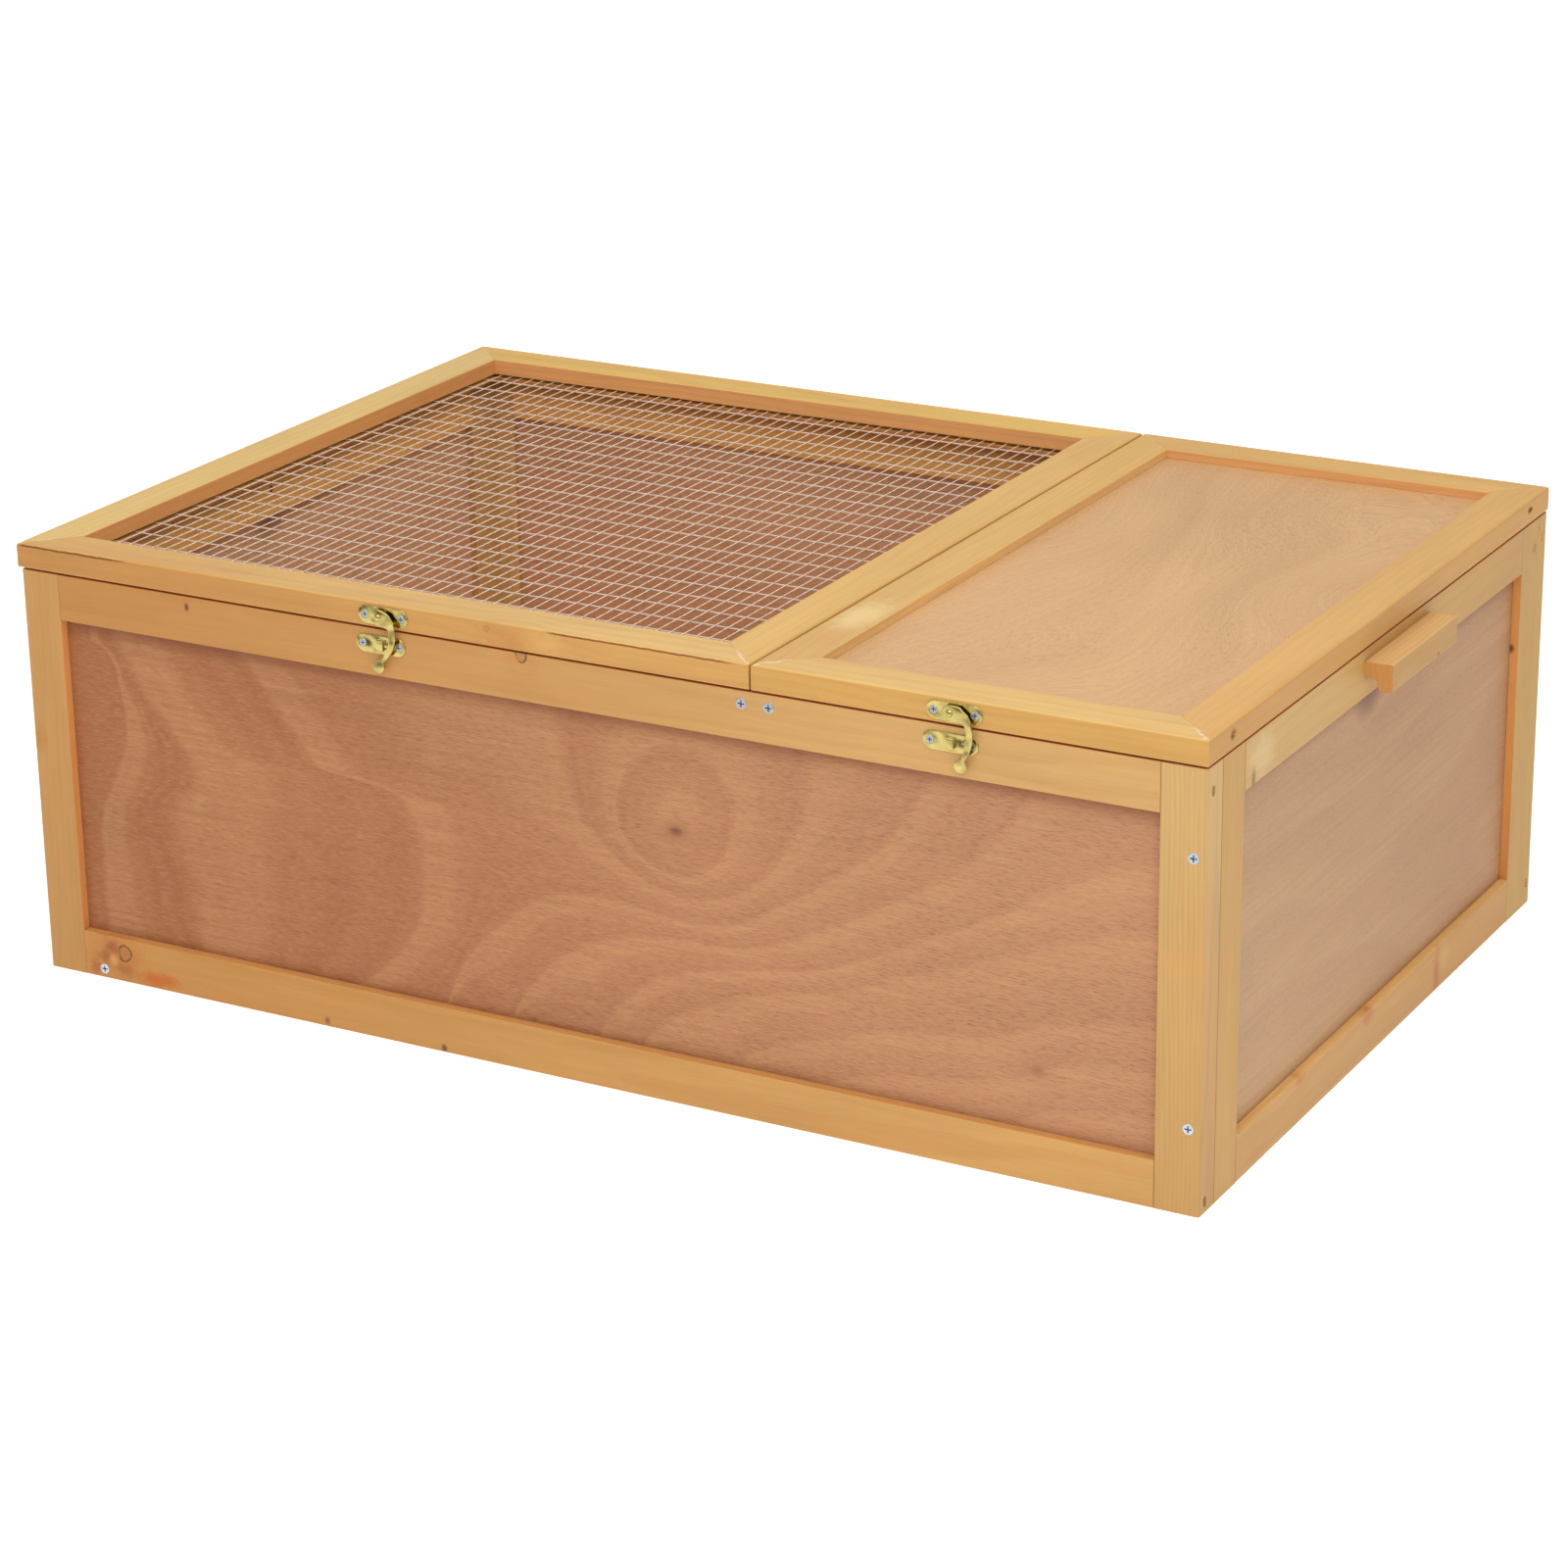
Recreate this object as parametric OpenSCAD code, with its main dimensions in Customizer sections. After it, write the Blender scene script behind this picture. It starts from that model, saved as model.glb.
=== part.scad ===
// Two-room rabbit hutch. The walls are frames with plywood panels in grooves. A wire-mesh lid closes the run, a
// plywood lid closes the sleeping room, and each lid has two butt hinges at the back and a swing-hook latch in front.
// Millimetres. The origin is the bottom centre of the whole hutch: +X to the right, the front at -Y, +Z up.

/* [Case] */
// Width of the case, left to right
body_w = 897; // [820:1:1000]
// Depth of the case, front to back
body_d = 598; // [500:1:700]
// Height of the case without its lids
body_h = 298.5; // [260:0.5:380]
// Thickness of the front frame
front_t = 23; // [20:0.5:28]
// Thickness of the back frame
back_t = 14; // [13:0.5:20]
// Thickness of the side frames
side_t = 17; // [15:0.5:22]
// Face width of the two front stiles
front_stile_w = 31; // [28:0.5:40]
// Face width of the other six stiles
stile_w = 34; // [30:0.5:44]
// Face width of the rails
rail_h = 33; // [30:0.5:40]
// Radius on the upright outer corners of the case
corner_round = 1.8; // [1:0.1:2.5]
// Radius on the other long edges of the frame wood
frame_ease = 0.4; // [0.2:0.1:0.8]

/* [Panels] */
// Thickness of the plywood panels
panel_t = 4; // [3:0.5:5]
// Depth of the grooves that hold the panels and the mesh
groove_depth = 8; // [6:0.5:10]
// Clearance on each face of a panel in its groove
groove_fit = 0.15; // [0.1:0.05:0.3]
// Gap between a panel's edge and the bottom of its groove
panel_gap = 1; // [0.5:0.1:2]
// Depth of the front panel behind the face of its frame
front_recess = 7; // [5:0.5:10]
// Depth of the side panels behind the face of their frames
side_recess = 6.4; // [5:0.2:8]
// Depth of the back panel behind the face of its frame
back_recess = 5; // [4:0.5:6.5]
// Depth of the lid panel below the top of its lid
lid_recess = 6.7; // [5:0.1:8]

/* [Lids] */
// Distance of the split between the lids from the left end of the case
split_pos = 581; // [500:1:640]
// Gap between the two lids
split_gap = 1.5; // [1:0.1:3]
// Thickness of the lids
lid_t = 17.5; // [16:0.5:22]
// Face width of the lid members
lid_member_w = 33; // [30:0.5:45]
// Gap between the case and the closed lids
lid_lift = 1.5; // [1:0.1:2]
// Overhang of the lids past the front of the case
lid_front_lap = 0.5; // [0:0.1:1]
// Overhang of the left lid past the left side
lid_left_lap = 2.5; // [0:0.1:5]
// Overhang of the right lid past the right side
lid_right_lap = 0.5; // [0:0.1:5]
// Radius on the outer top edges of the lids
lid_round = 2.5; // [1.5:0.1:4]
// Radius on the other long edges of the lid members
lid_ease = 0.8; // [0.4:0.1:1.2]

/* [Wire mesh] */
// Height of the mesh plane above the underside of the lid
mesh_height = 4.3; // [3.5:0.1:6]
// Height of the saw kerf that holds the mesh
kerf_h = 3; // [2.8:0.1:4]
// Diameter of the wires that run front to back
long_wire_d = 0.7; // [0.6:0.1:1.2]
// Diameter of the wires that run left to right
cross_wire_d = 1.2; // [0.8:0.1:1.4]
// Spacing of the wires that run front to back
long_pitch = 9.8; // [9:0.2:20]
// Spacing of the wires that run left to right
cross_pitch = 24; // [15:1:40]

/* [Floor, crossbar and partition] */
// Height of the joists under the floor
joist_h = 13; // [11:0.5:20]
// Width of the joists
joist_w = 33; // [25:1:40]
// Distance of the outer joists' middles from the ends of the case
joist_inset = 47.5; // [45:0.5:80]
// Thickness of the floor panel
floor_t = 5; // [4:0.5:8]
// Gap between the floor panel and the walls
floor_gap = 1; // [0.5:0.1:2]
// Width of the crossbar under the split between the lids
crossbar_w = 33; // [30:1:44]
// Distance of the crossbar and the partition to the right of the split
crossbar_shift = 3; // [0:0.5:4]
// Thickness of the crossbar
crossbar_t = 17.5; // [15:0.5:22]
// Depth of the groove in the crossbar that holds the partition
crossbar_groove = 5; // [3:0.5:6]
// Side of the square battens beside the partition
batten_w = 14; // [12:1:15]
// Width of the doorway in the partition
door_w = 150; // [120:1:180]
// Height of the doorway at the top of its arch
door_h = 190; // [150:1:200]

/* [Carrying handles] */
// Length of a handle
handle_l = 116; // [100:1:140]
// How far a handle stands out from the side
handle_d = 20; // [19:0.5:30]
// Height of a handle
handle_h = 19; // [18:0.5:24]
// Wood above the finger cove
handle_top = 10; // [9:0.5:11]
// Width of the finger cove
cove_w = 9.7; // [9:0.1:11]
// Radius of the cove's upper corner
cove_r = 5.5; // [3:0.5:6]
// Radius on the inner edge of the lip
lip_r = 4; // [2:0.5:5]
// Distance of the handle's top below the top of the case
handle_drop = 7.4; // [5:0.1:10]
// Distance of the handles behind the middle of the sides
handle_shift = 10; // [-20:1:20]

/* [Hinges] */
// Width of a hinge along its pin
hinge_w = 38; // [32:1:50]
// Height of a leaf from the pin's axis
leaf_h = 15.5; // [14:0.5:16]
// Thickness of the leaves
leaf_t = 1.2; // [1:0.1:1.5]
// Diameter of the hinge pins
pin_d = 2.6; // [2:0.1:3]
// Distance of the hinges' middles from the ends of each lid
hinge_inset = 80; // [60:1:110]
// Distance of the leaf screws from the pin's axis
leaf_screw_z = 10; // [9:0.5:10.5]
// Spacing of the two screws in a leaf
leaf_screw_spacing = 24; // [20:1:24]

/* [Latches] */
// Distance of the left latch's rivet from the left end of the case
left_latch_x = 300.8; // [200:0.1:400]
// Distance of the right latch's rivet from the left end of the case
right_latch_x = 724.8; // [700:0.1:780]
// Height of the rivets above the underside of the lids
rivet_height = 8.4; // [8:0.1:9]
// Length of the latch plates
plate_l = 38.7; // [36:0.1:42]
// Height of the latch plates
plate_h = 12.4; // [11:0.1:13]
// Thickness of the latch plates
plate_t = 0.9; // [0.7:0.1:1.2]
// Spacing of the two screws in a latch plate
plate_screw_spacing = 28.6; // [26:0.1:30]
// Distance of the lid plate's middle to the right of the rivet
lid_plate_shift = 1.8; // [0:0.1:3]
// Distance of the catch plate's middle to the left of the rivet
catch_plate_shift = 1.2; // [0:0.1:2]
// Distance of the catch plate's middle below the rivet
catch_drop = 20.5; // [20:0.1:21]
// Width of the raised bridge on the catch plate
bridge_w = 5.2; // [4:0.1:5.4]
// Clear height of the slot under the bridge
slot_h = 5.4; // [5:0.1:6]
// Wall of the bridge
bridge_wall = 0.8; // [0.6:0.1:1]
// Thickness of the hook arm
arm_t = 1.3; // [1:0.1:1.6]
// Radius of the hook arm's head round the rivet
hook_head_r = 5.5; // [5:0.1:6]
// Radius of the thumb paddle at the end of the hook arm
paddle_r = 4.4; // [4:0.1:5]
// Thickness of the hook's finger
finger_t = 0.7; // [0.5:0.1:0.9]
// Height of the hook's finger
finger_h = 2.2; // [1.6:0.1:2.4]
// Diameter of the rivets
rivet_d = 3; // [2.4:0.1:3.4]
// Swing of the left hook in degrees from the drawn pose, minus towards the latched position
left_hook_swing = -14.5; // [-14.5:0.5:0]
// Swing of the right hook in degrees from the drawn pose
right_hook_swing = 0; // [-14.5:0.5:0]

/* [Fasteners] */
// Head diameter of the frame screws
screw_head_d = 7.5; // [6.5:0.1:8]
// Shank diameter of the frame screws
screw_d = 3.8; // [3:0.1:4.5]
// Length of the screws in the front
front_screw_l = 45; // [40:1:48]
// Length of the screws in the back
back_screw_l = 36; // [32:1:38]
// Distance of the side frames' screws from the top and the bottom of the case
side_screw_inset = 59; // [50:1:80]
// Spacing of the two screws at each end of the crossbar
crossbar_screw_spacing = 20; // [16:1:22]
// Head diameter of the small screws
small_head_d = 5.2; // [4.6:0.1:5.6]
// Shank diameter of the small screws
small_d = 2.6; // [2:0.1:3]
// Length of the small screws in the hinges and latches
small_l = 12; // [10:0.5:12.5]
// Length of the floor screws
floor_screw_l = 14; // [12:0.5:15]
// Distance of the outer floor screws from the ends of the joists
floor_screw_inset = 60; // [40:1:100]
// Length of the screws that hold the handles
handle_screw_l = 28; // [24:1:30]
// Spacing of the two screws in a handle
handle_screw_spacing = 70; // [50:1:80]
// Diameter of the corner dowels
dowel_d = 8; // [6:0.5:8]
// Length of the corner dowels
dowel_l = 24; // [20:1:30]
// Distance of the dowels from the top and the bottom of the case
dowel_inset = 105; // [90:1:120]
// Shank diameter of the brads
brad_d = 1.8; // [1.4:0.1:2]
// Length of the brads
brad_l = 42; // [38:1:44]
// Depth of the brad heads below the wood
brad_sink = 3; // [2:0.5:4]
// Width of the slot that the brad head sinks in
brad_slot_w = 4.4; // [4:0.1:5.5]
// Length of the slot that the brad head sinks in
brad_slot_l = 7.4; // [6:0.1:9]
// Height of the lower brads in the front frame
front_brad_z = 7.5; // [6:0.5:16]
// Distance of the lid brads from the corners of the lid
lid_brad_inset = 38; // [37:0.5:39]
// Clearance round screws, brads and dowels
drill_fit = 0.1; // [0.1:0.05:0.2]

/* [Hidden] */
$fn = 48;

pine = "#d9a962";
front_ply = "#bd8460";
side_ply = "#c49a78";
lid_ply = "#d0a277";
zinc = "#c4cad2";
brass = "#c8ab4c";

// Small clearances between moving or seated pieces
run_gap = 0.1;
pass_gap = 0.3;
pin_fit = 0.05;
// Extra length of a cutter past the face that it opens
over = 1;

// Latch levels, measured forward from the front face of the case
finger_back = lid_front_lap + plate_t + 0.2;
finger_front = finger_back + finger_t;
bridge_in = finger_front + pass_gap;
bridge_out = bridge_in + bridge_wall;
arm_back = bridge_out + pass_gap;
arm_front = arm_back + arm_t;
rivet_head_t = 0.8;
hook_reach = arm_front + run_gap + rivet_head_t;

// Hinge sizes, measured from the axis of the pin
knuckle_r = pin_d / 2 + pin_fit + 1.15;
hinge_off = knuckle_r + run_gap;
hinge_reach = hinge_off + knuckle_r;
knuckle_count = 5;
knuckle_w = hinge_w / knuckle_count;
knuckle_gap = 0.2;

// Places of the case faces: the box round latches and hinges is centred on the origin
x_left = -body_w / 2;
x_right = body_w / 2;
y_front = -(body_d + hinge_reach - hook_reach) / 2;
y_back = y_front + body_d;
inner_d = body_d - front_t - back_t;

// Walls: [length, thickness, face width of the stiles, recess of the panel, radius on the stiles' outer edges,
// height of the lower brads]
front_wall = [body_w, front_t, front_stile_w, front_recess, corner_round, front_brad_z];
back_wall = [body_w, back_t, stile_w, back_recess, corner_round, rail_h / 2];
side_wall = [inner_d, side_t, stile_w, side_recess, frame_ease, rail_h / 2];
panel_insert = groove_depth - panel_gap;
tenon_inset = 2;

// Lids: [left edge, width]
split_x = x_left + split_pos;
lid_y = y_front - lid_front_lap;
lid_d = body_d + lid_front_lap;
lid_z = body_h + lid_lift;
left_lid_x = x_left - lid_left_lap;
left_lid = [left_lid_x, split_x - split_gap / 2 - left_lid_x];
right_lid_x = split_x + split_gap / 2;
right_lid = [right_lid_x, x_right + lid_right_lap - right_lid_x];
lid_groove_h = panel_t + 2 * groove_fit;
lid_groove_z = lid_t - lid_recess - panel_t - groove_fit;
kerf_z = mesh_height - kerf_h / 2;
weld_gap = 0.02;
brad_angle = 30;
hinge_z = body_h + lid_lift / 2;

// Floor, crossbar and partition
floor_z = joist_h + floor_t;
joist_x = [x_left + joist_inset, 0, x_right - joist_inset];
crossbar_x = split_x + crossbar_shift;
crossbar_z = body_h - crossbar_t;
crossbar_screw_z = body_h - crossbar_t / 2;
partition_top = crossbar_z + crossbar_groove - panel_gap;
partition_y = y_front + front_t + floor_gap;
partition_w = inner_d - 2 * floor_gap;

// Handles: place of the middle along each side wall, and height of the screws
right_handle_pos = body_d / 2 + handle_shift - front_t;
left_handle_pos = body_d / 2 - handle_shift - back_t;
handle_z = body_h - handle_drop;
handle_screw_z = -handle_top / 2;
handle_ease = 1.2;

// Hook outline in the drawn pose, seen from the front with the rivet at [0, 0]
hook_home = -25;
arm_outer = [-12, -13];
arm_outer_r = 27.9;
arm_inner = [-12.5, -15];
arm_inner_r = 24.3;
paddle = [7.6, -33.5];
rivet_z = lid_z + rivet_height;
// The finger, drawn in the latched position: it reaches through the bridge, which ends right of the rivet
bridge_right = 1.8;
finger_tip = -1.4;
finger_root = 4.6;
web_left = bridge_right + pass_gap + 0.1;

brad_head_t = 1;
crossbar_pos = split_pos + crossbar_shift;
side_screw_z = [side_screw_inset, body_h - side_screw_inset];
dowel_z = [dowel_inset, body_h - dowel_inset];
dowel_in_back = 8;
// Screws in the front wall and the back wall: [distance from the wall's left end seen from outside, height]
front_screws = [
    [crossbar_pos - crossbar_screw_spacing / 2, crossbar_screw_z],
    [crossbar_pos + crossbar_screw_spacing / 2, crossbar_screw_z],
    [body_w - side_t / 2, side_screw_z[0]],
    [body_w - side_t / 2, side_screw_z[1]],
    [joist_inset, joist_h / 2]
];
back_screws = [
    [body_w - crossbar_pos - crossbar_screw_spacing / 2, crossbar_screw_z],
    [body_w - crossbar_pos + crossbar_screw_spacing / 2, crossbar_screw_z],
    for (x = [side_t / 2, body_w - side_t / 2], z = side_screw_z) [x, z],
    for (x = [joist_inset, body_w / 2, body_w - joist_inset]) [x, joist_h / 2]
];

// ---------- Outlines ----------

// Cuts the corner at the origin of a rectangle to a quarter round
module corner_cut(r) {
    difference() {
        translate([-over, -over]) square(r + over);
        translate([r, r]) circle(r);
    }
}

// Rectangle with its own radius at each corner: [bottom left, bottom right, top right, top left]
module soft_rect(w, h, radii) {
    difference() {
        square([w, h]);
        corner_cut(radii[0]);
        translate([w, 0]) rotate(90) corner_cut(radii[1]);
        translate([w, h]) rotate(180) corner_cut(radii[2]);
        translate([0, h]) rotate(270) corner_cut(radii[3]);
    }
}

// Plate outline with round ends, its middle at the origin
module stadium(l, h) {
    translate([-(l - h) / 2, -h / 2]) square([l - h, h]);
    for (side = [-1, 1]) translate([side * (l - h) / 2, 0]) circle(d = h);
}

// ---------- Fasteners, pointing down -Z with the surface of the wood at z = 0 ----------

// Two crossed slots of the screw recess
module cross_recess(head_d) {
    arm = head_d * 0.62;
    slot = head_d * 0.13;
    depth = head_d * 0.2;
    translate([-arm / 2, -slot / 2, -depth]) cube([arm, slot, depth + over]);
    translate([-slot / 2, -arm / 2, -depth]) cube([slot, arm, depth + over]);
}

module countersunk_screw(head_d, shank_d, length) {
    head_h = (head_d - shank_d) / 2;
    tip = shank_d;
    difference() {
        rotate_extrude() polygon([
            [0, 0], [head_d / 2, 0], [shank_d / 2, -head_h],
            [shank_d / 2, tip - length], [0.3, -length], [0, -length]
        ]);
        cross_recess(head_d);
    }
}

module countersunk_hole(head_d, shank_d, length) {
    head_h = (head_d - shank_d) / 2;
    rotate_extrude() polygon([
        [0, over], [head_d / 2 + drill_fit, over], [head_d / 2 + drill_fit, 0],
        [shank_d / 2 + drill_fit, -head_h], [shank_d / 2 + drill_fit, -length - 0.5], [0, -length - 0.5]
    ]);
}

module frame_screw(length) countersunk_screw(screw_head_d, screw_d, length);
module frame_screw_hole(length) countersunk_hole(screw_head_d, screw_d, length);
module small_screw() countersunk_screw(small_head_d, small_d, small_l);
module small_screw_hole() countersunk_hole(small_head_d, small_d, small_l);

module brad() {
    translate([0, 0, -brad_sink - brad_head_t]) cylinder(h = brad_head_t, d = 2 * brad_d);
    translate([0, 0, -brad_l]) cylinder(h = brad_l - brad_sink - brad_head_t, d = brad_d);
}

module brad_hole() {
    sunk = brad_sink + brad_head_t + drill_fit;
    translate([0, 0, -sunk]) linear_extrude(sunk + 3 * over) stadium(brad_slot_l, brad_slot_w);
    translate([0, 0, -brad_l - 0.5]) cylinder(h = brad_l, d = brad_d + 2 * drill_fit);
}

// ---------- Places of the walls. In each one x runs along the outer face, y goes inwards and z is up ----------

module on_front() translate([x_left, y_front, 0]) children();
module on_back() translate([x_right, y_back, 0]) rotate([0, 0, 180]) children();
module on_right() translate([x_right, y_front + front_t, 0]) rotate([0, 0, 90]) children();
module on_left() translate([x_left, y_back - back_t, 0]) rotate([0, 0, -90]) children();

module wall_screw_places(places) {
    for (p = places) translate([p[0], 0, p[1]]) rotate([90, 0, 0]) children();
}

// One brad through each stile's edge into each rail
module wall_brad_places(wall) {
    for (z = [wall[5], body_h - rail_h / 2]) {
        translate([0, wall[3] + panel_t / 2, z]) rotate([0, -90, 0]) children();
        translate([wall[0], wall[3] + panel_t / 2, z]) rotate([0, 90, 0]) children();
    }
}

// Dowels between the side frames and the front and back frames
module corner_dowels_solid(d, extra) {
    for (x = [x_left + side_t / 2, x_right - side_t / 2], z = dowel_z) {
        translate([x, y_front + front_t - dowel_l / 2 - extra, z]) rotate([-90, 0, 0])
            cylinder(h = dowel_l + 2 * extra, d = d);
        translate([x, y_back - back_t + dowel_in_back - dowel_l - extra, z]) rotate([-90, 0, 0])
            cylinder(h = dowel_l + 2 * extra, d = d);
    }
}

module handle_screw_places(pos) {
    for (side = [-1, 1])
        translate([pos + side * handle_screw_spacing / 2, side_t, handle_z + handle_screw_z])
            rotate([-90, 0, 0]) children();
}

module front_holes() on_front() {
    wall_brad_places(front_wall) brad_hole();
    wall_screw_places(front_screws) frame_screw_hole(front_screw_l);
}

module back_holes() on_back() {
    wall_brad_places(back_wall) brad_hole();
    wall_screw_places(back_screws) frame_screw_hole(back_screw_l);
}

module side_holes(pos) {
    wall_brad_places(side_wall) brad_hole();
    handle_screw_places(pos) countersunk_hole(small_head_d, small_d, handle_screw_l);
}

module dowel_holes() corner_dowels_solid(dowel_d + 2 * drill_fit, 0.5);

// ---------- Wall pieces ----------

// Frame wood along +Z: x runs from the outer edge to the grooved inner edge, y from the outer face inwards
module frame_wood(length, face_w, wall, outer_r) {
    linear_extrude(length) difference() {
        soft_rect(face_w, wall[1], [outer_r, frame_ease, frame_ease, frame_ease]);
        translate([face_w - groove_depth, wall[3] - groove_fit])
            square([groove_depth + over, panel_t + 2 * groove_fit]);
    }
}

module left_stile(wall) frame_wood(body_h, wall[2], wall, wall[4]);
module right_stile(wall) translate([wall[0], 0, 0]) mirror([1, 0, 0]) left_stile(wall);

// A rail has a stub tenon at each end that fills the groove of the stile
module rail_wood(wall) {
    length = wall[0] - 2 * wall[2];
    frame_wood(length, rail_h, wall, frame_ease);
    translate([tenon_inset, wall[3], -panel_insert])
        cube([rail_h - groove_depth - tenon_inset, panel_t, length + 2 * panel_insert]);
}

module top_rail(wall) translate([wall[2], 0, body_h]) rotate([0, 90, 0]) rail_wood(wall);
module bottom_rail(wall) translate([wall[0] - wall[2], 0, 0]) rotate([0, -90, 0]) rail_wood(wall);

module wall_panel(wall) {
    translate([wall[2] - panel_insert, wall[3], rail_h - panel_insert])
        cube([wall[0] - 2 * (wall[2] - panel_insert), panel_t, body_h - 2 * (rail_h - panel_insert)]);
}

module front_left_stile() color(pine) difference() {
    on_front() left_stile(front_wall);
    front_holes();
    dowel_holes();
}

module front_right_stile() color(pine) difference() {
    on_front() right_stile(front_wall);
    front_holes();
    dowel_holes();
}

module front_top_rail() color(pine) difference() {
    on_front() top_rail(front_wall);
    front_holes();
    catch_screw_holes();
}

module front_bottom_rail() color(pine) difference() {
    on_front() bottom_rail(front_wall);
    front_holes();
}

module front_panel() color(front_ply) on_front() wall_panel(front_wall);

module back_left_stile() color(pine) difference() {
    on_back() right_stile(back_wall);
    back_holes();
    dowel_holes();
}

module back_right_stile() color(pine) difference() {
    on_back() left_stile(back_wall);
    back_holes();
    dowel_holes();
}

module back_top_rail() color(pine) difference() {
    on_back() top_rail(back_wall);
    back_holes();
    hinge_places(left_lid) leaf_screw_places(-1) small_screw_hole();
    hinge_places(right_lid) leaf_screw_places(-1) small_screw_hole();
}

module back_bottom_rail() color(pine) difference() {
    on_back() bottom_rail(back_wall);
    back_holes();
}

module back_panel() color(front_ply) on_back() wall_panel(back_wall);

module left_front_stile() color(pine) difference() {
    on_left() right_stile(side_wall);
    on_left() side_holes(left_handle_pos);
    dowel_holes();
}

module left_back_stile() color(pine) difference() {
    on_left() left_stile(side_wall);
    on_left() side_holes(left_handle_pos);
    back_holes();
    dowel_holes();
}

module left_top_rail() color(pine) difference() {
    on_left() top_rail(side_wall);
    on_left() side_holes(left_handle_pos);
}

module left_bottom_rail() color(pine) difference() {
    on_left() bottom_rail(side_wall);
    on_left() side_holes(left_handle_pos);
}

module left_panel() color(side_ply) on_left() wall_panel(side_wall);

module right_front_stile() color(pine) difference() {
    on_right() left_stile(side_wall);
    on_right() side_holes(right_handle_pos);
    front_holes();
    dowel_holes();
}

module right_back_stile() color(pine) difference() {
    on_right() right_stile(side_wall);
    on_right() side_holes(right_handle_pos);
    back_holes();
    dowel_holes();
}

module right_top_rail() color(pine) difference() {
    on_right() top_rail(side_wall);
    on_right() side_holes(right_handle_pos);
}

module right_bottom_rail() color(pine) difference() {
    on_right() bottom_rail(side_wall);
    on_right() side_holes(right_handle_pos);
}

module right_panel() color(side_ply) on_right() wall_panel(side_wall);

// ---------- Floor, crossbar and partition ----------

module floor_screw_places() {
    for (x = joist_x, y = [floor_screw_inset, inner_d / 2, inner_d - floor_screw_inset])
        translate([x, y_front + front_t + y, floor_z]) children();
}

module floor_panel() color(side_ply) difference() {
    translate([x_left + side_t + floor_gap, y_front + front_t + floor_gap, joist_h])
        cube([body_w - 2 * (side_t + floor_gap), inner_d - 2 * floor_gap, floor_t]);
    floor_screw_places() countersunk_hole(small_head_d, small_d, floor_screw_l);
}

module floor_joists() color(pine) difference() {
    for (x = joist_x)
        translate([x - joist_w / 2, y_front + front_t + inner_d, 0]) rotate([90, 0, 0])
            linear_extrude(inner_d) soft_rect(joist_w, joist_h, [frame_ease, frame_ease, frame_ease, frame_ease]);
    front_holes();
    back_holes();
    floor_screw_places() countersunk_hole(small_head_d, small_d, floor_screw_l);
}

module lid_crossbar() color(pine) difference() {
    translate([crossbar_x - crossbar_w / 2, y_front + front_t + inner_d, crossbar_z]) rotate([90, 0, 0])
        linear_extrude(inner_d) difference() {
            soft_rect(crossbar_w, crossbar_t, [frame_ease, frame_ease, frame_ease, frame_ease]);
            translate([crossbar_w / 2 - panel_t / 2 - groove_fit, -over])
                square([panel_t + 2 * groove_fit, crossbar_groove + over]);
        }
    front_holes();
    back_holes();
}

// Plywood wall between the rooms, with an arched doorway
module partition_panel() color(side_ply) {
    translate([crossbar_x - panel_t / 2, partition_y, floor_z]) rotate([90, 0, 90])
        linear_extrude(panel_t) difference() {
            square([partition_w, partition_top - floor_z]);
            translate([(partition_w - door_w) / 2, -over]) square([door_w, door_h - door_w / 2 + over]);
            translate([partition_w / 2, door_h - door_w / 2]) circle(d = door_w);
        }
}

module partition_battens() color(pine) {
    for (y = [y_front + front_t, y_back - back_t - batten_w])
        translate([crossbar_x + panel_t / 2, y, floor_z]) linear_extrude(crossbar_z - floor_z)
            soft_rect(batten_w, batten_w, [frame_ease, frame_ease, frame_ease, frame_ease]);
}

// ---------- Handles ----------

// Section with the wall at x = 0, outwards at -x and the top at y = 0
module handle_section() {
    difference() {
        translate([-handle_d, -handle_h])
            soft_rect(handle_d, handle_h, [handle_ease, handle_ease / 2, handle_ease / 2, handle_ease]);
        translate([-cove_w, -handle_h - over])
            square([cove_w + over, handle_h + over - handle_top - cove_r]);
        translate([cove_r - cove_w, -handle_h - over])
            square([cove_w - cove_r + over, handle_h + over - handle_top]);
        translate([cove_r - cove_w, -handle_top - cove_r]) circle(cove_r);
        translate([-cove_w, -handle_h]) rotate(90) corner_cut(lip_r);
    }
}

module handle(pos) {
    difference() {
        translate([pos - handle_l / 2, 0, handle_z]) rotate([90, 0, 90]) linear_extrude(handle_l) handle_section();
        handle_screw_places(pos) countersunk_hole(small_head_d, small_d, handle_screw_l);
    }
}

module left_handle() color(pine) on_left() handle(left_handle_pos);
module right_handle() color(pine) on_right() handle(right_handle_pos);

// ---------- Case fasteners ----------

module corner_dowels() color(pine) corner_dowels_solid(dowel_d, 0);

module frame_brads() color(zinc) {
    on_front() wall_brad_places(front_wall) brad();
    on_back() wall_brad_places(back_wall) brad();
    on_left() wall_brad_places(side_wall) brad();
    on_right() wall_brad_places(side_wall) brad();
}

module case_screws() color(zinc) {
    on_front() wall_screw_places(front_screws) frame_screw(front_screw_l);
    on_back() wall_screw_places(back_screws) frame_screw(back_screw_l);
    floor_screw_places() countersunk_screw(small_head_d, small_d, floor_screw_l);
    on_left() handle_screw_places(left_handle_pos) countersunk_screw(small_head_d, small_d, handle_screw_l);
    on_right() handle_screw_places(right_handle_pos) countersunk_screw(small_head_d, small_d, handle_screw_l);
}

// ---------- Hinges, each drawn about the pin's axis with the wood in front of it ----------

module hinge_places(lid) {
    for (x = [lid[0] + hinge_inset, lid[0] + lid[1] - hinge_inset])
        translate([x, y_back + hinge_off, hinge_z]) children();
}

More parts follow.
